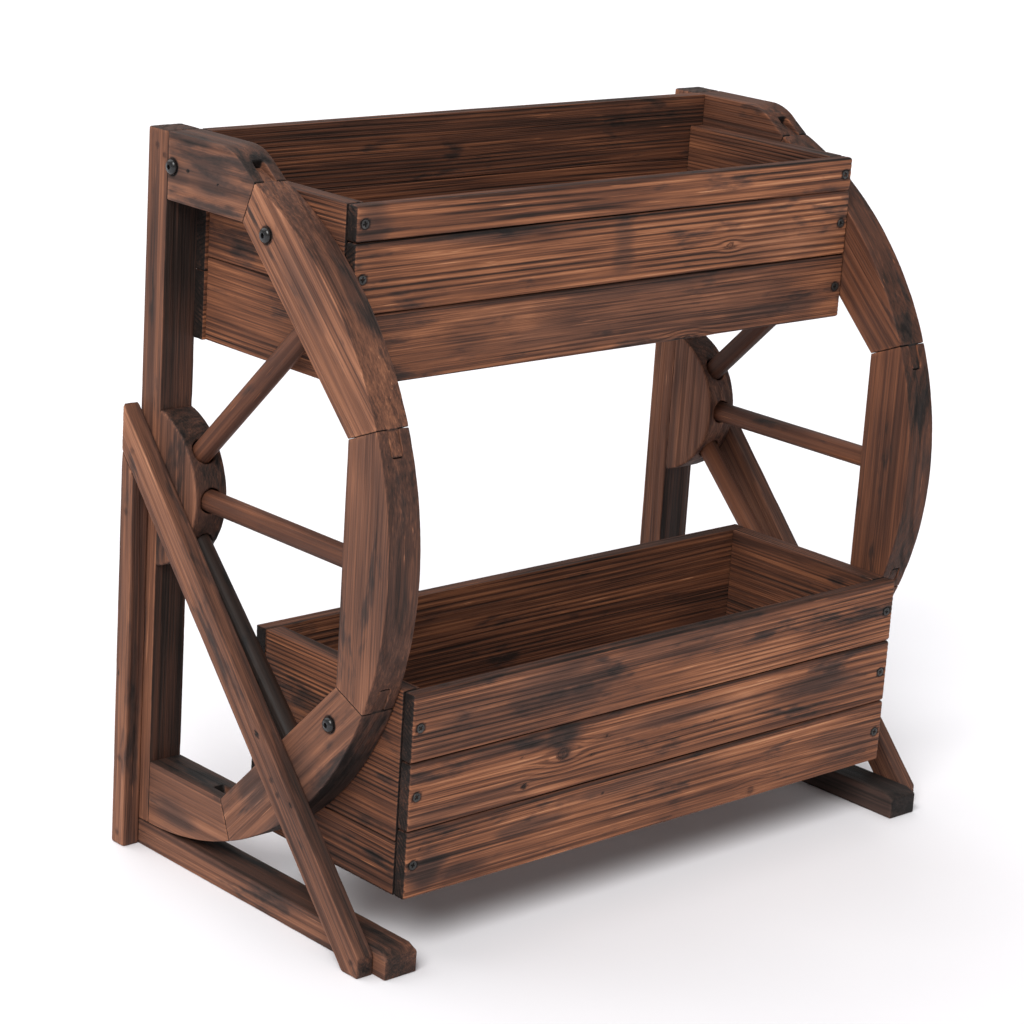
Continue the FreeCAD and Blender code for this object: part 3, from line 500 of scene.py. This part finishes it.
class Net:
    """Short ways to add nodes to a material or a group."""

    def __init__(self, tree):
        self.tree = tree

    def feed(self, socket, value):
        if isinstance(value, bpy.types.NodeSocket):
            self.tree.links.new(value, socket)
        elif value is not None:
            socket.default_value = value

    def math(self, operation, a, b=None, c=None, clamp=False):
        node = self.tree.nodes.new("ShaderNodeMath")
        node.operation = operation
        node.use_clamp = clamp
        for socket, value in zip(node.inputs, (a, b, c)):
            self.feed(socket, value)
        return node.outputs[0]

    def scaled(self, vector, scale):
        node = self.tree.nodes.new("ShaderNodeVectorMath")
        node.operation = "MULTIPLY"
        self.feed(node.inputs[0], vector)
        self.feed(node.inputs[1], scale)
        return node.outputs[0]

    def noise(self, vector, scale=1.0, detail=2.0, roughness=0.5, distortion=0.0):
        node = self.tree.nodes.new("ShaderNodeTexNoise")
        self.feed(node.inputs["Vector"], vector)
        self.feed(node.inputs["Scale"], scale)
        self.feed(node.inputs["Detail"], detail)
        self.feed(node.inputs["Roughness"], roughness)
        self.feed(node.inputs["Distortion"], distortion)
        return node.outputs["Fac"]

    def ramp(self, value, low, high, to_low=0.0, to_high=1.0):
        node = self.tree.nodes.new("ShaderNodeMapRange")
        node.interpolation_type = "SMOOTHSTEP"
        for socket, given in zip(node.inputs, (value, low, high, to_low, to_high)):
            self.feed(socket, given)
        return node.outputs[0]

    def mix(self, share, a, b, kind="MIX"):
        node = self.tree.nodes.new("ShaderNodeMix")
        node.data_type = "RGBA"
        node.blend_type = kind
        self.feed(node.inputs[0], share)
        self.feed(node.inputs[6], a)
        self.feed(node.inputs[7], b)
        return node.outputs[2]

    def field(self, name, output="Fac"):
        node = self.tree.nodes.new("ShaderNodeAttribute")
        node.attribute_name = name
        return node.outputs[output]

    def group(self, tree, **values):
        node = self.tree.nodes.new("ShaderNodeGroup")
        node.node_tree = tree
        for label, value in values.items():
            self.feed(node.inputs[label.replace("_", " ")], value)
        return node.outputs


def make_fibre_group():
    """Fine fibres, and broader bands that run along the grain."""
    tree, entry, leave = new_group(
        "wood fibres", [("Grain", VECTOR, None)],
        [("Fine", FLOAT), ("Band", FLOAT), ("Patch", FLOAT), ("Light Streak", FLOAT),
         ("Dark Streak", FLOAT)])
    net = Net(tree)
    grain = entry.outputs["Grain"]
    light = net.noise(net.scaled(grain, (7, 520, 520)), 1.0, 3.0, 0.6)
    dark = net.noise(net.scaled(grain, (5, 430, 430)), 1.3, 3.0, 0.6)
    net.feed(leave.inputs["Light Streak"], net.ramp(light, 0.55, 0.61))
    net.feed(leave.inputs["Dark Streak"], net.ramp(dark, 0.56, 0.62))
    net.feed(leave.inputs["Fine"], net.noise(net.scaled(grain, (7, 700, 700)), 1.0, 4.0, 0.66))
    net.feed(leave.inputs["Band"], net.noise(net.scaled(grain, (2.6, 130, 130)), 1.0, 3.0, 0.6))
    net.feed(leave.inputs["Patch"], net.noise(net.scaled(grain, (6, 22, 22)), 1.0, 2.0, 0.5, 0.3))
    return tree


def make_ring_group():
    """Dark latewood line of each growth ring, some bold and some faint, and finer lines between.

    Swing runs from -1 in the dark wood to 1 on the light ridge beside it.
    """
    tree, entry, leave = new_group(
        "ring lines", [("Grain", VECTOR, None), ("Ring", FLOAT, 0.0), ("Width", FLOAT, 0.3)],
        [("Line", FLOAT), ("Fine Line", FLOAT), ("Swing", FLOAT)])
    net = Net(tree)
    grain, width = entry.outputs["Grain"], entry.outputs["Width"]
    ragged = net.noise(net.scaled(grain, (22, 700, 700)), 1.0, 3.0, 0.6)
    ring = net.math("ADD", entry.outputs["Ring"], net.math("MULTIPLY", ragged, 0.2))
    bold = net.ramp(net.noise(net.scaled(grain, (5, 60, 60)), 1.0, 2.0), 0.36, 0.58)
    phase = net.math("FRACT", ring)
    away = net.math("ABSOLUTE", net.math("SUBTRACT", phase, 0.65))
    line = net.ramp(away, net.math("MULTIPLY", width, 0.3), width, 1.0, 0.0)
    net.feed(leave.inputs["Line"], net.math("MULTIPLY", line, bold))
    phase = net.math("FRACT", net.math("MULTIPLY", ring, 2.7))
    away = net.math("ABSOLUTE", net.math("SUBTRACT", phase, 0.5))
    faint = net.ramp(net.noise(net.scaled(grain, (9, 90, 90)), 1.0, 2.0), 0.4, 0.6)
    thin = net.ramp(away, 0.06, 0.24, 1.0, 0.0)
    net.feed(leave.inputs["Fine Line"], net.math("MULTIPLY", thin, faint))
    turn = net.math("MULTIPLY", net.math("SUBTRACT", ring, 0.15), 2 * math.pi)
    net.feed(leave.inputs["Swing"], net.math("MULTIPLY", net.math("COSINE", turn), bold))
    return tree


def make_scorch_group():
    """Cloudy marks of the flame, drawn out along the grain."""
    tree, entry, leave = new_group(
        "scorch", [("Grain", VECTOR, None), ("Amount", FLOAT, 0.5)],
        [("Cloud", FLOAT), ("Smudge", FLOAT)])
    net = Net(tree)
    grain = entry.outputs["Grain"]
    cloud = net.noise(net.scaled(grain, (9, 34, 34)), 1.0, 3.0, 0.55, 0.5)
    smudge = net.noise(net.scaled(grain, (34, 120, 120)), 1.0, 4.0, 0.6, 0.3)
    start = net.math("SUBTRACT", 0.74, net.math("MULTIPLY", entry.outputs["Amount"], 0.35))
    mixed = net.math("MULTIPLY_ADD", net.math("SUBTRACT", smudge, 0.5), 0.45, cloud)
    net.feed(leave.inputs["Cloud"], net.ramp(mixed, start, net.math("ADD", start, 0.2)))
    net.feed(leave.inputs["Smudge"], net.ramp(smudge, 0.38, 0.64))
    return tree


def make_scratch_group():
    """Sparse pale scratches and specks."""
    tree, entry, leave = new_group("scratches", [("Grain", VECTOR, None)], [("Mask", FLOAT)])
    net = Net(tree)
    grain = entry.outputs["Grain"]
    fine = net.noise(net.scaled(grain, (20, 720, 720)), 1.0, 1.0)
    where = net.noise(net.scaled(grain, (14, 45, 45)), 1.0, 1.0)
    thin, near = net.ramp(fine, 0.66, 0.75), net.ramp(where, 0.55, 0.66)
    net.feed(leave.inputs["Mask"], net.math("MULTIPLY", thin, near))
    return tree


def colour_scale(tree, stops):
    """Colour ramp with the given stops, each a place from 0 to 1 and its colour."""
    ramp = tree.nodes.new("ShaderNodeValToRGB")
    made = ramp.color_ramp.elements
    for place, tone in stops:
        stop = made[0] if place == 0 else made[-1] if place == 1 else made.new(place)
        stop.color = (*tone, 1)
    return ramp


def make_stain_group():
    """Colour of the wood, from 0, charred, to 1, where the ridges are rubbed. Ash greys it."""
    tree, entry, leave = new_group("wood stain", [("Tone", FLOAT, 0.5), ("Ash", FLOAT, 0.0)],
                                   [("Colour", COLOR)])
    warm = colour_scale(tree, ((0.0, (0.010, 0.007, 0.006)), (0.2, (0.028, 0.016, 0.012)),
                               (0.42, (0.084, 0.034, 0.021)), (0.62, (0.186, 0.070, 0.035)),
                               (0.82, (0.360, 0.138, 0.062)), (1.0, (0.58, 0.27, 0.135))))
    grey = colour_scale(tree, ((0.0, (0.011, 0.010, 0.010)), (0.42, (0.062, 0.044, 0.039)),
                               (0.7, (0.170, 0.105, 0.083)), (1.0, (0.40, 0.28, 0.22))))
    net = Net(tree)
    net.feed(warm.inputs[0], entry.outputs["Tone"])
    net.feed(grey.inputs[0], entry.outputs["Tone"])
    mixed = net.mix(entry.outputs["Ash"], warm.outputs["Color"], grey.outputs["Color"])
    net.feed(leave.inputs["Colour"], mixed)
    return tree


FIBRES, RINGS, STAIN = make_fibre_group(), make_ring_group(), make_stain_group()
SCORCH, SCRATCHES = make_scorch_group(), make_scratch_group()


def new_material(name):
    made = bpy.data.materials.new(name)
    made.use_nodes = True
    made.node_tree.nodes.clear()
    shader = made.node_tree.nodes.new("ShaderNodeBsdfPrincipled")
    out = made.node_tree.nodes.new("ShaderNodeOutputMaterial")
    made.node_tree.links.new(shader.outputs[0], out.inputs["Surface"])
    return made, Net(made.node_tree), shader


def timber_finish(name, light, lines, fine_lines, fibre, streaks, scorched, side_scorch_and_shade, ash, shine,
                  ends=0.62, joint_shade=0.0, width=0.3):
    """Stained, brushed and scorched softwood.

    Light is its middle tone; lines, fine_lines, fibre, streaks, ends and the side and joint amounts say
    how strongly each effect changes it. The side amount is painted shade, partly scorch, on the faces
    other than the main face; the joint amount is painted shade along a board's top edge under the
    joint above. Scorched is how much of it the flame has clouded, ash how grey it is, shine its
    roughness and width that of the dark ring lines.
    """
    made, net, shader = new_material(name)
    grain = net.field("grain", "Vector")
    edge, knot = net.field("edge"), net.field("knot")
    fibres = net.group(FIBRES, Grain=grain)
    rings = net.group(RINGS, Grain=grain, Ring=net.field("ring"), Width=width)
    scorch = net.group(SCORCH, Grain=grain, Amount=scorched)
    scratch = net.group(SCRATCHES, Grain=grain)["Mask"]
    # Lighter rounded edges where the smudge noise allows: partly wear, partly a painted highlight where
    # light would catch them.
    rubbed = net.math("MULTIPLY", edge, scorch["Smudge"])
    # Painted shade along the top edge of a board, under the joint with the board above, broken up by the
    # patch noise.
    joint_shade_mask = net.math("MULTIPLY", net.field("top_edge_shade"), net.ramp(fibres["Patch"], 0.35, 0.6, 0.45, 1.0))
    # Darkened and greyed in the listed spots: mostly scorch, but two of them are painted shade.
    flame = net.math("MULTIPLY", net.field("scorch_and_shade"), net.ramp(fibres["Fine"], 0.3, 0.7, 0.75, 1.0))
    dots = net.math("MULTIPLY", net.field("cross"), fibres["Fine"])
    clear = net.math("SUBTRACT", 1.0, net.math("MULTIPLY", net.field("scorch_and_shade"), 0.8), clamp=True)

    tone = light
    for mask, amount in (
            (net.math("SUBTRACT", fibres["Patch"], 0.5), 0.55),
            (net.math("SUBTRACT", fibres["Band"], 0.5), 0.6),
            (net.math("SUBTRACT", fibres["Fine"], 0.5), fibre),
            (fibres["Light Streak"], streaks),
            (fibres["Dark Streak"], -streaks),
            (net.math("MULTIPLY", rings["Line"], clear), -lines),
            (net.math("MULTIPLY", rings["Fine Line"], clear), -fine_lines),
            (rings["Swing"], 0.35 * lines),
            (scorch["Cloud"], -0.3),
            (flame, -0.5),
            (rubbed, 0.2),
            (joint_shade_mask, -joint_shade),
            # Painted shade, partly scorch: faces other than the main face and the end grain are
            # darkened.
            (net.field("side"), -side_scorch_and_shade),
            (knot, -0.5),
            (net.field("cross"), -ends),
            (dots, 0.2),
            # Painted shade round each fastener head, darkening the wood where the head presses it in.
            (net.field("seat"), -0.5),
            (scratch, 0.28)):
        tone = net.math("MULTIPLY_ADD", mask, amount, tone)
    greyed = net.math("MULTIPLY_ADD", scorch["Cloud"], 0.35, ash)
    greyed = net.math("MULTIPLY_ADD", flame, 0.5, greyed, clamp=True)
    net.feed(shader.inputs["Base Color"], net.group(STAIN, Tone=tone, Ash=greyed)["Colour"])

    rough = net.math("MULTIPLY_ADD", fibres["Fine"], 0.35, shine)
    rough = net.math("MULTIPLY_ADD", rings["Line"], 0.12, rough, clamp=True)
    net.feed(shader.inputs["Roughness"], rough)
    shader.inputs["Specular IOR Level"].default_value = 0.18
    bump = net.tree.nodes.new("ShaderNodeBump")
    bump.inputs["Strength"].default_value = 0.7
    bump.inputs["Distance"].default_value = 0.6 * MM
    height = net.math("MULTIPLY_ADD", rings["Fine Line"], -0.35, fibres["Fine"])
    height = net.math("MULTIPLY_ADD", rings["Line"], -0.5, height)
    net.feed(bump.inputs["Height"], height)
    net.feed(shader.inputs["Normal"], bump.outputs["Normal"])
    return made


board_finish = timber_finish("scorched ribbed board", light=0.665, lines=0.25, fine_lines=0.12,
                             fibre=0.8, streaks=0.08, scorched=0.5, side_scorch_and_shade=0.14, ash=0.07, shine=0.48,
                             joint_shade=0.5, width=0.24)
fine_board_finish = timber_finish("scorched fine board", light=0.68, lines=0.16, fine_lines=0.16,
                                  fibre=0.85, streaks=0.09, scorched=0.54, side_scorch_and_shade=0.14, ash=0.1,
                                  shine=0.48, joint_shade=0.5, width=0.24)
panel_finish = timber_finish("scorched end panel", light=0.54, lines=0.16, fine_lines=0.12, fibre=0.8,
                             streaks=0.07, scorched=0.44, side_scorch_and_shade=0.12, ash=0.06, shine=0.5, width=0.26)
frame_finish = timber_finish("scorched frame timber", light=0.565, lines=0.055, fine_lines=0.06,
                             fibre=0.6, streaks=0.06, scorched=0.54, side_scorch_and_shade=0.15, ash=0.3, shine=0.47,
                             ends=0.32)
# The post's side amount is twice the frame's: painted shade on its front face, which lies behind the rim
# and beside the box.
post_finish = timber_finish("scorched post timber", light=0.58, lines=0.055, fine_lines=0.06,
                            fibre=0.6, streaks=0.06, scorched=0.54, side_scorch_and_shade=0.3, ash=0.24, shine=0.47,
                            ends=0.4)
# The rims' side amount is partly painted shade, on their outer edges that face down.
rim_finish = timber_finish("scorched rim timber", light=0.6, lines=0.04, fine_lines=0.04, fibre=0.42,
                           streaks=0.04, scorched=0.62, side_scorch_and_shade=0.22, ash=0.3, shine=0.45)
pale_rim_finish = timber_finish("paler rim timber", light=0.68, lines=0.06, fine_lines=0.08, fibre=0.62,
                                streaks=0.07, scorched=0.5, side_scorch_and_shade=0.17, ash=0.25, shine=0.47)
# Darker copy of the rim timber for the right wheel: painted shade, where the boxes shade that wheel.
shaded_rim_finish = timber_finish("rim timber darkened as painted shade", light=0.51, lines=0.06, fine_lines=0.06,
                               fibre=0.5, streaks=0.05, scorched=0.5, side_scorch_and_shade=0.15, ash=0.06, shine=0.47)
spoke_finish = timber_finish("dark spoke", light=0.44, lines=0.02, fine_lines=0.02, fibre=0.26,
                             streaks=0.02, scorched=0.4, side_scorch_and_shade=0.0, ash=0.0, shine=0.34)


def metal_finish(name, tone, worn_tone, metallic, low, high):
    """Coated or plain steel, rubbed lighter in places, with painted shade in its recesses."""
    made, net, shader = new_material(name)
    place = net.tree.nodes.new("ShaderNodeTexCoord").outputs["Object"]
    spots = net.noise(place, 900.0, 4.0, 0.6)
    rub = net.noise(place, 260.0, 3.0, 0.5)
    base = net.mix(net.ramp(rub, 0.5, 0.75), (*tone, 1), (*worn_tone, 1))
    # Painted shade: near black where the recess field is high.
    base = net.mix(net.field("recess"), base, (0.006, 0.005, 0.005, 1))
    net.feed(shader.inputs["Base Color"], base)
    net.feed(shader.inputs["Metallic"], metallic)
    net.feed(shader.inputs["Roughness"], net.ramp(spots, 0.3, 0.7, low, high))
    bump = net.tree.nodes.new("ShaderNodeBump")
    bump.inputs["Strength"].default_value = 0.15
    bump.inputs["Distance"].default_value = 0.1 * MM
    net.feed(bump.inputs["Height"], spots)
    net.feed(shader.inputs["Normal"], bump.outputs["Normal"])
    return made


bolt_black = metal_finish("glossy black bolt", (0.008, 0.008, 0.009), (0.03, 0.03, 0.032), 0.0,
                          0.16, 0.34)
screw_steel = metal_finish("darkened screw", (0.04, 0.039, 0.038), (0.09, 0.087, 0.083), 0.6,
                           0.36, 0.55)


# ------------------------------------------------------------------------------------------------
# Frame
# ------------------------------------------------------------------------------------------------
BRACE_LOW, BRACE_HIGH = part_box("left_brace")              # it runs from its high end down to the front
BRACE_RUN = Vector((0, BRACE_LOW.y - BRACE_HIGH.y, BRACE_LOW.z - BRACE_HIGH.z))
RIM_ANGLES = {1: 79, 2: 45, 3: 0, 4: -45, 5: -79}         # degrees above straight ahead
SPOKE_ANGLES = {"upper": 45, "middle": 0, "lower": -45}


def outward(side):
    return Vector((side, 0, 0))


def radial(angle):
    """Direction in the wheel's plane, at an angle above straight ahead."""
    turn = math.radians(angle)
    return Vector((0, -math.cos(turn), math.sin(turn)))


def rim_finish_of(side, number):
    """Right wheel: its rims painted darker, as shade from the boxes. Left: steep pieces show finer
    grain.
    """
    if side > 0:
        return shaded_rim_finish
    return {2: pale_rim_finish, 3: frame_finish}.get(number, rim_finish)


def build_frame():
    for index, (word, side) in enumerate(SIDES):
        seed = 100 * (index + 1)
        face = outward(side)
        slot, finish = "frame_wood", frame_finish
        from_solid(f"{word}_post", Z, face, PLANED, seed + 1, post_finish, cell=0.9 * MM)
        from_solid(f"{word}_rear_leg", Z, face, PLANED, seed + 2, finish)
        from_solid(f"{word}_foot", Y, face, PLANED, seed + 3, finish)
        from_solid(f"{word}_brace", BRACE_RUN, face, PLANED, seed + 4, finish)
        from_solid(f"{word}_hub", Z, face, PLANED, seed + 5, finish, stretch=1.3)
        for number, angle in RIM_ANGLES.items():
            run = Y if number in (1, 5) else radial(angle + 90)
            from_solid(f"{word}_rim_{number}", run, face, PLANED, seed + 10 + number,
                       rim_finish_of(side, number), cell=0.85 * MM, stretch=1.5)
        for which, angle in SPOKE_ANGLES.items():
            from_solid(f"{word}_spoke_{which}", radial(angle), face, PLANED, seed + 50 + angle,
                       spoke_finish, cell=0.9 * MM, stretch=2.4)


# ------------------------------------------------------------------------------------------------
# Boxes
# ------------------------------------------------------------------------------------------------
ROWS = ("bottom", "middle", "top")
POST_LAP = 2.4 * MM                                       # how far the upper back laps the posts


def build_boxes():
    for index, box in enumerate(("upper", "lower")):
        seed = 500 + 100 * index
        for row, word in enumerate(ROWS):
            fine = box == "lower" or word == "bottom"
            board(f"{box}_front_{word}", X, -Y, FINE_RIBBED if fine else RIBBED, seed + row,
                  fine_board_finish if fine else board_finish)
            against_post = box == "upper" and word != "top"
            board(f"{box}_back_{word}", X, Y, BACKING, seed + 10 + row, panel_finish,
                  cell=1.4 * MM, stretch=3.5, spare=POST_LAP if against_post else 0.0)
        for word, side in SIDES:
            for part in ("bottom", "top"):
                board(f"{box}_{word}_end_{part}", Y, outward(side), PANEL,
                      seed + 30 + 7 * side + len(part), panel_finish)
            board(f"{box}_{word}_cleat", Y, Z, PANEL, seed + 50 + side, panel_finish,
                  cell=1.6 * MM)
        for rank, word in enumerate(("back", "front")):
            from_solid(f"{box}_bottom_{word}", X, Z, PANEL, seed + 60 + rank, panel_finish,
                       cell=1.6 * MM, stretch=2)


# ------------------------------------------------------------------------------------------------
# Bolts and screws
# ------------------------------------------------------------------------------------------------
AROUND = 72                                               # corners round each head
HEAD_START = 7                                            # rings below it belong to shank and rim
TURN = np.arange(AROUND) * 2 * math.pi / AROUND
WHEEL_FACE = -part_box("left_rim_2")[0].x                   # the rim's outer face, from the middle


def ring_of(radius, height):
    """One ring of points round the axis; radius and height may change round it."""
    radius, height = radius + 0 * TURN, height + 0 * TURN
    return np.stack([radius * np.cos(TURN), radius * np.sin(TURN), height], axis=1)


def shank(radius, length, point):
    """Rings of a shank, from its tip up to just below the head."""
    return [ring_of(0.25 * radius, -length), ring_of(0.8 * radius, -length + 0.4 * point),
            ring_of(radius, -length + point), ring_of(radius, -0.9 * MM)]


def button_head(radius, height, length):
    """Domed head with a six-sided socket, on its shank. Height 0 is the face it sits on."""
    socket = 2.0 * MM / np.cos((TURN + math.pi / 6) % (math.pi / 3) - math.pi / 6)
    lip = 0.16 * height
    rings = shank(3.0 * MM, length - height, 1.2 * MM)
    rings += [ring_of(radius - 0.5 * MM, 0.0), ring_of(radius - 0.1 * MM, 0.08 * MM)]
    rings += [ring_of(radius, 0.3 * MM), ring_of(radius, lip)]
    for tilt in np.radians((8, 18, 28, 38, 48, 58)):
        up = (np.sin(tilt) / np.sin(math.radians(62))) * (height - lip - 0.1 * MM)
        rings.append(ring_of(radius * np.cos(tilt) ** 0.9, lip + up))
    rings += [ring_of(socket + 0.45 * MM, height - 0.03 * MM), ring_of(socket + 0.22 * MM, height)]
    rings += [ring_of(socket, height - 0.2 * MM), ring_of(socket, 1.5 * MM)]
    rings += [ring_of(0.7 * socket, 1.3 * MM), ring_of(0.2 * socket, 1.1 * MM)]
    return rings


def cross_head(radius, height, length):
    """Countersunk head with a cross recess, on its shank. Height 0 is its flat top."""
    rings = shank(1.7 * MM, length, 5 * MM)[:3] + [ring_of(1.7 * MM, -2.6 * MM)]
    rings += [ring_of(0.97 * radius, -0.45 * MM), ring_of(radius, -0.25 * MM)]
    rings += [ring_of(0.97 * radius, -0.06 * MM)]
    for share in (0.88, 0.76, 0.68, 0.6, 0.52, 0.44, 0.36, 0.29, 0.22, 0.14, 0.06):
        r = share * radius
        x, y = np.abs(r * np.cos(TURN)), np.abs(r * np.sin(TURN))
        arm = np.minimum(x, y)
        inside = (1 - smooth(arm, 0.6 * MM, 0.8 * MM)) * (1 - smooth(r, 0.58 * radius, 0.7 * radius))
        rings.append(ring_of(r, -inside * (1.5 * MM - 0.35 * r)))
    return rings


def ring_top(rings):
    """Height of the highest ring of a head."""
    return max(ring[:, 2].max() for ring in rings[-8:])


def build_hardware(name, node, head, finish, proud):
    """Makes every bolt or screw of a node again, each turned a little differently."""
    pick = np.random.default_rng(len(name))
    points, faces = [], []
    for place, out, radius, length in HARDWARE[node]:
        height = abs(place.x) - WHEEL_FACE if proud else 0.0
        first = AROUND * len(points)
        level = Z.cross(out).normalized()
        spin = Matrix.Rotation(pick.uniform(0, math.pi), 3, out)
        turn = np.array(spin @ Matrix((level, out.cross(level), out)).transposed())
        seat = np.array(place - height * out)
        rings = head(radius, height, length)
        points += [ring @ turn.T + seat for ring in rings]
        step = np.arange(AROUND)
        after = (step + 1) % AROUND
        for k in range(len(rings) - 1):
            row = first + k * AROUND
            quad = np.stack([row + step, row + after, row + AROUND + after, row + AROUND + step], 1)
            faces += quad.tolist()
        faces.append((first + step[::-1]).tolist())
        faces.append((first + (len(rings) - 1) * AROUND + step).tolist())
    mesh = bpy.data.meshes.new(name)
    mesh.from_pydata(np.concatenate(points).tolist(), [], faces)
    mesh.update()
    mesh.polygons.foreach_set("use_smooth", [True] * len(mesh.polygons))
    mesh.set_sharp_from_angle(angle=math.radians(50))
    mesh.materials.append(finish)
    # Painted shade: the parts of a head that lie below its top go darker, near black a millimetre down,
    # which darkens the socket, the cross recess and the lower flank of a domed head.
    sunk = [np.clip((ring_top(rings) - ring[:, 2]) / MM, 0, 1) * (k > HEAD_START) for _ in HARDWARE[node]
            for k, ring in enumerate(rings)]
    write_field(mesh, "recess", np.concatenate(sunk))
    piece = bpy.data.objects.new(name, mesh)
    bpy.context.scene.collection.objects.link(piece)
    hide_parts(node)
    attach(piece, "root")


def finish_in_place(node, finish):
    """Gives a finish to a node that keeps its own shape."""
    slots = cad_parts[node].material_slots
    for place in slots:
        place.link = "OBJECT"
        place.material = finish


build_frame()
build_boxes()
build_hardware("button_bolts", "wheel_bolts", button_head, bolt_black, True)
build_hardware("button_lag_screws", "wheel_lag_screws", button_head, bolt_black, True)
build_hardware("countersunk_screws", "box_screws", cross_head, screw_steel, False)
for node in ("wheel_nuts", "frame_nails"):
    finish_in_place(node, screw_steel)


# ------------------------------------------------------------------------------------------------
# Floor, light and camera
# ------------------------------------------------------------------------------------------------
def make_floor():
    """Pale matt floor, wide enough for its edge to lie outside every view."""
    mesh = bpy.data.meshes.new("floor")
    reach = 12.0
    mesh.from_pydata([(-reach, -reach, 0), (reach, -reach, 0), (reach, reach, 0), (-reach, reach, 0)],
                     [], [(0, 1, 2, 3)])
    made, net, shader = new_material("pale floor")
    place = net.tree.nodes.new("ShaderNodeTexCoord").outputs["Object"]
    tone = net.ramp(net.noise(place, 3.0, 2.0), 0.3, 0.7, 0.0, 1.0)
    net.feed(shader.inputs["Base Color"], net.mix(tone, (0.90, 0.89, 0.92, 1), (0.92, 0.91, 0.94, 1)))
    shader.inputs["Roughness"].default_value = 0.8
    shader.inputs["Specular IOR Level"].default_value = 0.2
    mesh.materials.append(made)
    floor = bpy.data.objects.new("floor", mesh)
    bpy.context.scene.collection.objects.link(floor)


def make_light():
    """Two wide soft lamps, and an even white room that looks brighter than it lights.

    The key comes from the left and in front, the other from above and behind.
    """
    world = bpy.data.worlds.new("studio")
    world.use_nodes = True
    tree = world.node_tree
    room = tree.nodes["Background"]
    room.inputs[0].default_value = (1, 1, 1, 1)
    path = tree.nodes.new("ShaderNodeLightPath")
    net = Net(tree)
    lit, seen = 0.44, 1.07
    share = path.outputs["Is Camera Ray"]
    net.feed(room.inputs[1], net.math("MULTIPLY_ADD", share, seen - lit, lit))
    bpy.context.scene.world = world
    soft_sun("key", (2.8, 1.6, -3.1), 2.4, 34, (1.0, 0.99, 0.975))
    soft_sun("top", (0.1, -0.8, -1), 1.4, 70, (1.0, 1.0, 1.0))


def soft_sun(name, heading, power, spread, tone):
    """Even light from far away, as wide as a large softbox."""
    lamp = bpy.data.lights.new(name, "SUN")
    lamp.energy = power
    lamp.angle = math.radians(spread)
    lamp.color = tone
    holder = bpy.data.objects.new(name, lamp)
    holder.rotation_euler = Vector(heading).to_track_quat("-Z", "Y").to_euler()
    bpy.context.scene.collection.objects.link(holder)


CAMERA_PLACE = Vector((-1.7263, -1.7906, 1.0164))
CAMERA_TURN = (43.1, -16.28, 3.75)                        # azimuth, elevation and roll in degrees
PICTURE = 1024                                            # pixels along a side of the photograph
LENS_PIXELS = 2972.0                                      # focal length in those pixels
SENSOR = 36                                               # millimetres


def make_camera():
    """The photograph's camera."""
    azimuth, elevation, roll = (math.radians(angle) for angle in CAMERA_TURN)
    ahead = Vector((math.sin(azimuth) * math.cos(elevation), math.cos(azimuth) * math.cos(elevation),
                    math.sin(elevation)))
    level = Vector((math.cos(azimuth), -math.sin(azimuth), 0))
    upright = level.cross(ahead)
    right = math.cos(roll) * level + math.sin(roll) * upright
    up = math.cos(roll) * upright - math.sin(roll) * level
    data = bpy.data.cameras.new("camera")
    data.sensor_width = SENSOR
    data.lens = LENS_PIXELS * SENSOR / PICTURE
    camera = bpy.data.objects.new("camera", data)
    turn = Matrix((right, up, -ahead)).transposed().to_4x4()
    camera.matrix_world = Matrix.Translation(CAMERA_PLACE) @ turn
    bpy.context.scene.collection.objects.link(camera)
    bpy.context.scene.camera = camera


make_floor()
make_light()
make_camera()
bpy.context.scene.view_settings.view_transform = "Standard"
